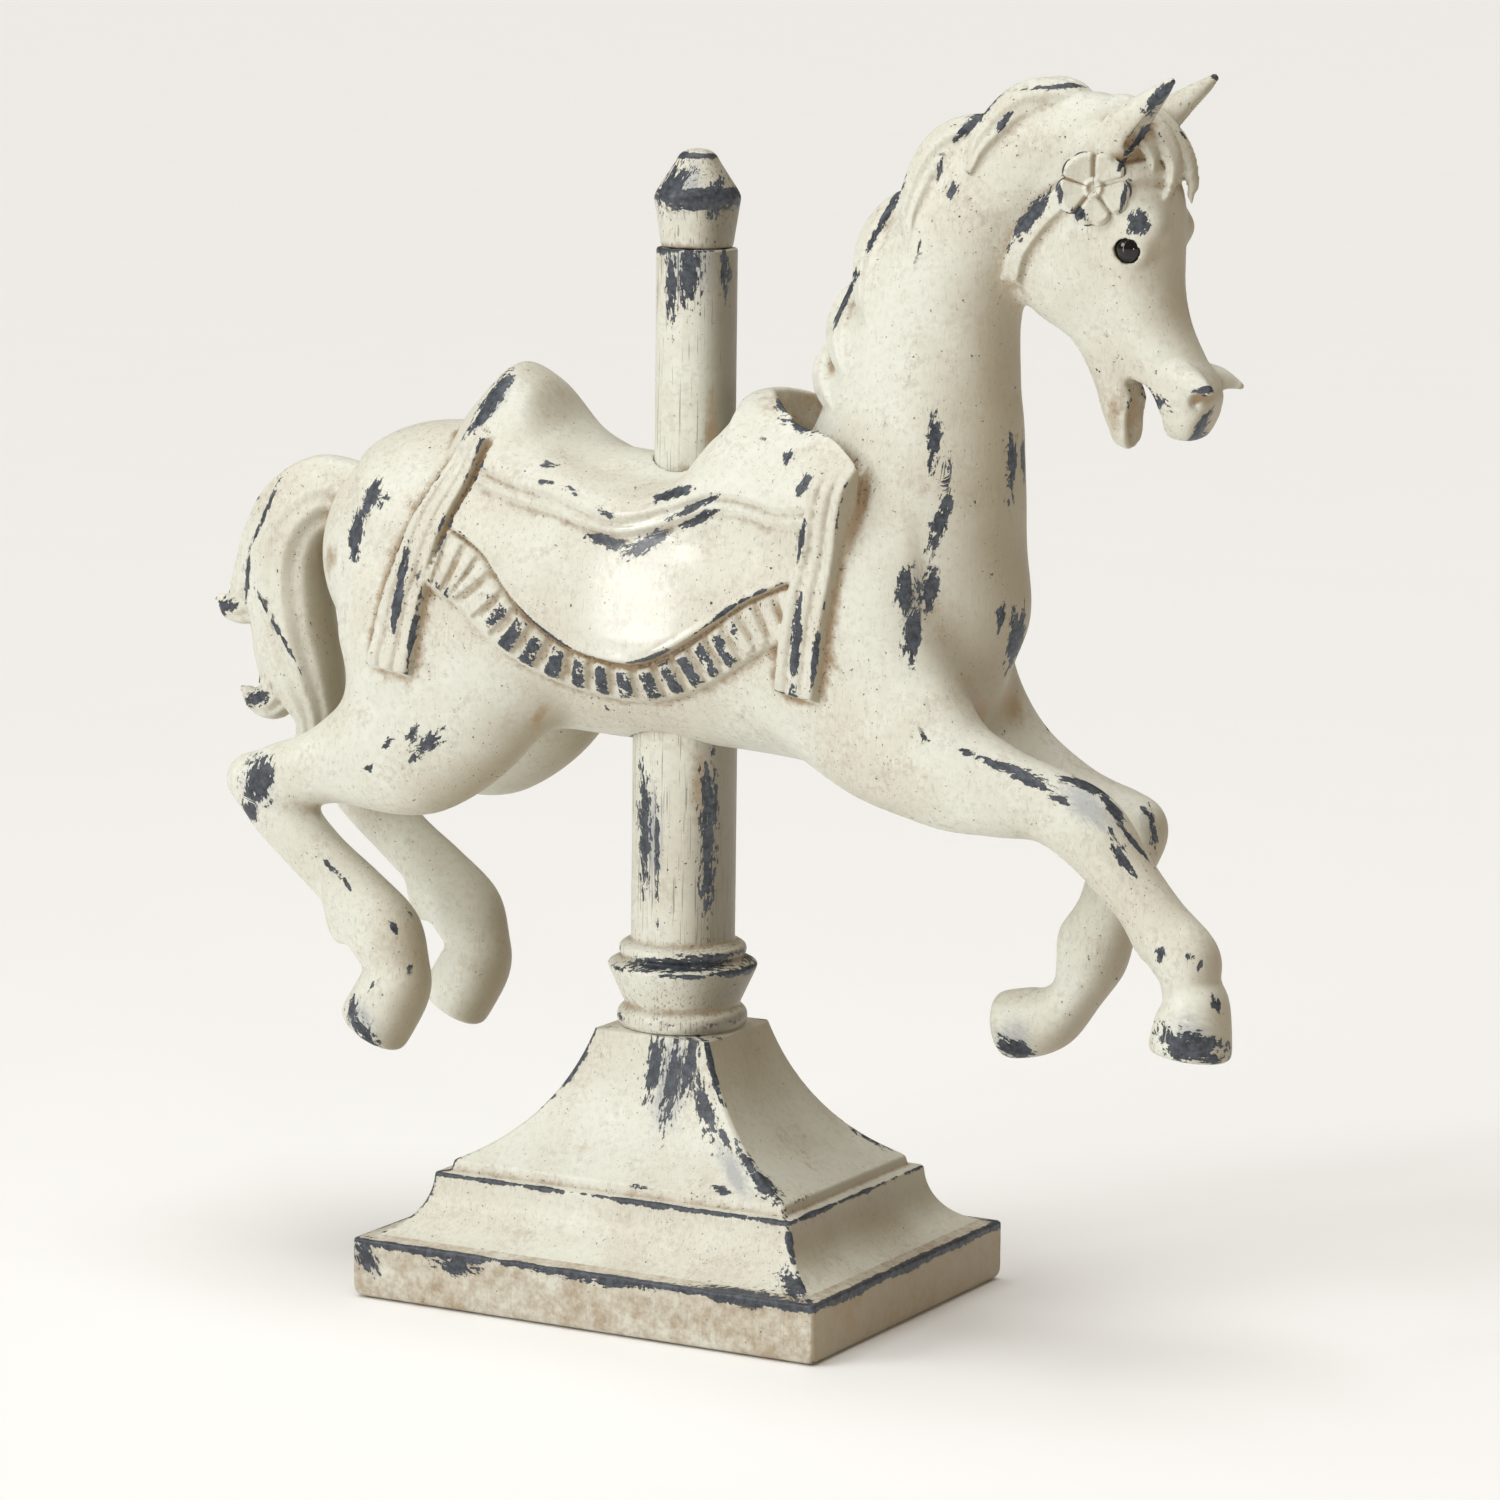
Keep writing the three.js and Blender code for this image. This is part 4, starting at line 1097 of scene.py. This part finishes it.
# Materials: cream paint over a slate undercoat, rubbed through at edges and in worn places
class Tree:
    """Short ways to add and join the nodes of a material."""

    def __init__(self, name):
        self.material = bpy.data.materials.new(name)
        self.material.use_nodes = True
        self.tree = self.material.node_tree
        self.shader = self.tree.nodes["Principled BSDF"]
        self.place = self.add("TexCoord").outputs["Object"]

    def add(self, kind, settings=(), **inputs):
        item = self.tree.nodes.new("ShaderNode" + kind)
        for key, value in dict(settings).items():
            setattr(item, key, value)
        for key, value in inputs.items():
            self.set(item.inputs[key.replace("_", " ")], value)
        return item

    def set(self, socket, value):
        if isinstance(value, bpy.types.NodeSocket):
            self.tree.links.new(value, socket)
        else:
            socket.default_value = value

    def look(self, name, value):
        """Sets or joins an input of the shader."""
        self.set(self.shader.inputs[name], value)

    def maths(self, operation, *values):
        item = self.tree.nodes.new("ShaderNodeMath")
        item.operation = operation
        for socket, value in zip(item.inputs, values):
            self.set(socket, value)
        return item.outputs[0]

    def total(self, *terms):
        """Sum of sockets, each with its weight, and plain numbers."""
        result = sum(term for term in terms if not isinstance(term, tuple))
        for socket, weight in (term for term in terms if isinstance(term, tuple)):
            result = self.maths("MULTIPLY_ADD", socket, weight, result)
        return result

    def noise(self, scale, detail=3.0, rough=0.6, place=None):
        item = self.add("TexNoise", Vector=place or self.place, Scale=scale, Detail=detail, Roughness=rough)
        return item.outputs["Fac"]

    def value(self, name):
        return self.add("Attribute", {"attribute_name": name}).outputs["Fac"]

    def ramp(self, value, low, high):
        smooth = {"interpolation_type": "SMOOTHSTEP"}
        return self.add("MapRange", smooth, Value=value, From_Min=low, From_Max=high).outputs["Result"]

    def mix(self, share, first, second):
        item = self.add("Mix", {"data_type": "RGBA"})
        self.set(item.inputs[0], share)
        self.set(item.inputs[6], first)
        self.set(item.inputs[7], second)
        return item.outputs[2]

    def wash(self, first, share, strength, second):
        """A colour with a second one laid over it, as far as the share and the strength say."""
        return self.mix(self.maths("MULTIPLY", share, strength), first, second)


def paint(name, brush, fine_weight, torn_weight, break_weight, scratched, shade_start, shade_gain, shade):
    """Cream paint over slate: weights tear the rims of worn places, painted shade darkens sides facing +X
    and undersides, and dirt with painted shade darkens creases.
    """
    t = Tree(name)
    stretched = t.add("Mapping", Vector=t.place, Scale=brush).outputs[0]
    fine = t.noise(FINE_SCALE, 4, 0.65)
    mid = t.noise(PATCH_SCALE, 3)
    large = t.noise(CLOUD_SCALE, 2)
    strokes = t.noise(STROKE_SCALE, 3, 0.6, stretched)
    worn = t.value("worn")
    grain = t.add("Attribute", {"attribute_name": "grain"}).outputs["Vector"]
    torn = t.noise(TORN_SCALE, 3, 0.65, grain)
    broken = t.noise(BREAK_SCALE, 3, 0.55, grain)
    ragged = t.total(
        -0.5 * (fine_weight + torn_weight + break_weight),
        (fine, fine_weight), (torn, torn_weight), (broken, break_weight),
    )
    rubbed = t.total(-0.1, (worn, 1.0), (ragged, 1.0))
    edges = t.total(-4.25, (t.value("edge"), 1.5), (mid, 2.6), (large, 3.2), (ragged, 0.5))
    chips = t.total(-2.70, (t.noise(CHIP_SCALE, 2), 2.6), (large, 1.3))
    bare = t.maths("MAXIMUM", t.maths("MAXIMUM", rubbed, edges), chips)
    bare = t.ramp(bare, -0.03, 0.05)
    crease = t.value("crease")
    grime = t.ramp(t.value("grime"), -0.2, 0.9)
    # Dirt and painted shade: brown laid into creases and into the marked grime and shade places
    dirt_and_shade = t.ramp(t.total(-0.85, (crease, 1.15), (mid, 0.8), (fine, 0.6), (grime, 0.75)), 0, 0.8)
    pits = t.ramp(t.total(0.0, (t.noise(PIT_SCALE, 2), 1.0), (crease, 0.12), (large, 0.12)), 0.75, 0.8)
    cream = t.mix(t.ramp(large, 0.35, 0.65), CREAM, WARM_CREAM)
    cream = t.mix(t.ramp(mid, 0.45, 0.75), cream, PALE_CREAM)
    stain = t.ramp(t.total(-0.62, (mid, 0.9), (fine, 0.5), (large, 0.4)), 0.25, 0.6)
    cream = t.wash(cream, stain, 0.6, STAIN)
    cream = t.wash(cream, t.ramp(fine, 0.42, 0.7), 0.22, MOTTLE)
    hairs = t.ramp(t.total(0.0, (t.noise(HAIR_SCALE, 2, 0.5, stretched), 1.0), (large, 0.25)), 0.72, 0.80)
    cream = t.wash(cream, hairs, scratched, HAIRLINE)
    scuffed = t.ramp(t.total(-1.0, (t.value("scuff"), 0.9), (torn, 1.0), (broken, 0.8)), -0.15, 0.6)
    cream = t.wash(cream, scuffed, 0.7, SCUFF_GREY)
    # Painted shade: sides facing +X and undersides are darkened towards the shade colour
    facing = t.add("SeparateXYZ", Vector=t.add("TexCoord").outputs["Normal"])
    ahead, above = facing.outputs["X"], facing.outputs["Z"]
    painted_shade = t.total(shade_start, (ahead, shade_gain), (above, -0.4), (large, 0.3))
    cream = t.wash(cream, t.ramp(painted_shade, 0.0, 0.9), 0.85, shade)
    cream = t.mix(dirt_and_shade, cream, DIRT_AND_SHADE_BROWN)
    cream = t.mix(pits, cream, PIT_BROWN)
    slate = t.mix(t.ramp(fine, 0.35, 0.7), DARK_SLATE, LIGHT_SLATE)
    t.look("Base Color", t.mix(bare, cream, slate))
    shine = t.ramp(t.value("polish"), -0.1, 0.5)
    t.look("Roughness", t.total(0.36, (mid, 0.22), (bare, 0.02), (shine, -0.24)))
    t.look("Coat Weight", shine)
    t.look("Coat Roughness", COAT_ROUGHNESS)
    height = t.total(0.0, (bare, -0.9), (strokes, 0.5), (fine, 0.35), (pits, -0.8))
    bump = t.add("Bump", Height=height, Distance=BUMP_DEPTH, Strength=BUMP_STRENGTH)
    t.look("Normal", bump.outputs[0])
    return t.material


def bead():
    t = Tree("black_bead_gloss")
    cloud = t.noise(BEAD_SCALE, 2)
    t.look("Base Color", t.mix(cloud, DARK_BEAD, LIGHT_BEAD))
    t.look("Roughness", t.total(0.03, (cloud, 0.04)))
    t.look("Specular IOR Level", 0.5)
    return t.material


# The shade colours below are painted shade, laid on sides facing +X and on undersides
horse_paint = paint(
    "horse_paint", brush=(1, 1, 0.16), fine_weight=1.4, torn_weight=1.8, break_weight=1.8, scratched=0.2,
    shade_start=-0.25, shade_gain=1.0, shade=(0.32, 0.265, 0.17, 1),
)
base_paint = paint(
    "base_paint", brush=(1, 1, 0.05), fine_weight=1.2, torn_weight=3.0, break_weight=1.8, scratched=0.22,
    shade_start=-0.25, shade_gain=1.05, shade=(0.30, 0.25, 0.16, 1),
)
pole_paint = paint(
    "pole_paint", brush=(1, 1, 0.03), fine_weight=1.0, torn_weight=3.2, break_weight=1.6, scratched=0.9,
    shade_start=-0.8, shade_gain=1.6, shade=(0.17, 0.14, 0.09, 1),
)
black = bead()
looks = [(horse, horse_paint), (base, base_paint)]
looks += [(pole, pole_paint) for pole in (column, post, finial)]
looks += [(flower, horse_paint) for flower in flowers]
looks += [(eye, black) for eye in eyes]
for item, material in looks:
    item.data.materials.clear()
    item.data.materials.append(material)

# Plain stage and light
floor = bpy.data.objects.new("floor", bpy.data.meshes.new("floor"))
floor_corners = [(x * FLOOR_HALF, y * FLOOR_HALF, 0) for x, y in ((-1, -1), (1, -1), (1, 1), (-1, 1))]
floor.data.from_pydata(floor_corners, [], [(0, 1, 2, 3)])
scene.collection.objects.link(floor)
ground = Tree("pale_floor")
ground.look("Base Color", ground.mix(ground.noise(FLOOR_SCALE, 2), FLOOR_PALE, FLOOR_PALER))
ground.look("Roughness", FLOOR_ROUGHNESS)
floor.data.materials.append(ground.material)

world = bpy.data.worlds.new("studio")
world.use_nodes = True
background = world.node_tree.nodes["Background"]
background.inputs["Color"].default_value = SURROUNDINGS
background.inputs["Strength"].default_value = SURROUNDINGS_STRENGTH
scene.world = world
scene.view_settings.view_transform = "Standard"


def soft_sun(name, toward, strength, spread, colour):
    light = bpy.data.objects.new(name, bpy.data.lights.new(name, "SUN"))
    light.data.energy = strength
    light.data.angle = math.radians(spread)
    light.data.color = colour
    light.rotation_euler = Vector(toward).to_track_quat("-Z", "Y").to_euler()
    scene.collection.objects.link(light)


def softbox(name, place, target, width, height, watts, colour):
    light = bpy.data.objects.new(name, bpy.data.lights.new(name, "AREA"))
    light.data.shape = "RECTANGLE"
    light.data.size = width
    light.data.size_y = height
    light.data.energy = watts
    light.data.color = colour
    light.location = place
    light.visible_camera = False
    light.rotation_euler = (Vector(target) - Vector(place)).to_track_quat("-Z", "Y").to_euler()
    scene.collection.objects.link(light)


soft_sun("key", toward=(0.6, 0.58, -0.40), strength=0.97, spread=24, colour=(0.97, 1, 1))
soft_sun("top", toward=(0.02, 0.05, -1), strength=1.98, spread=50, colour=(0.965, 0.985, 1))
softbox("window", place=(-0.53, -1.19, 1.0), target=(0, -0.04, 1.0), width=0.07, height=2.0, watts=5.2,
        colour=(1, 1, 0.99))
softbox("fill", place=(1.2, -0.95, 0.4), target=(0.1, 0, 0.25), width=0.11, height=0.11, watts=1.9,
        colour=(1, 0.95, 0.84))
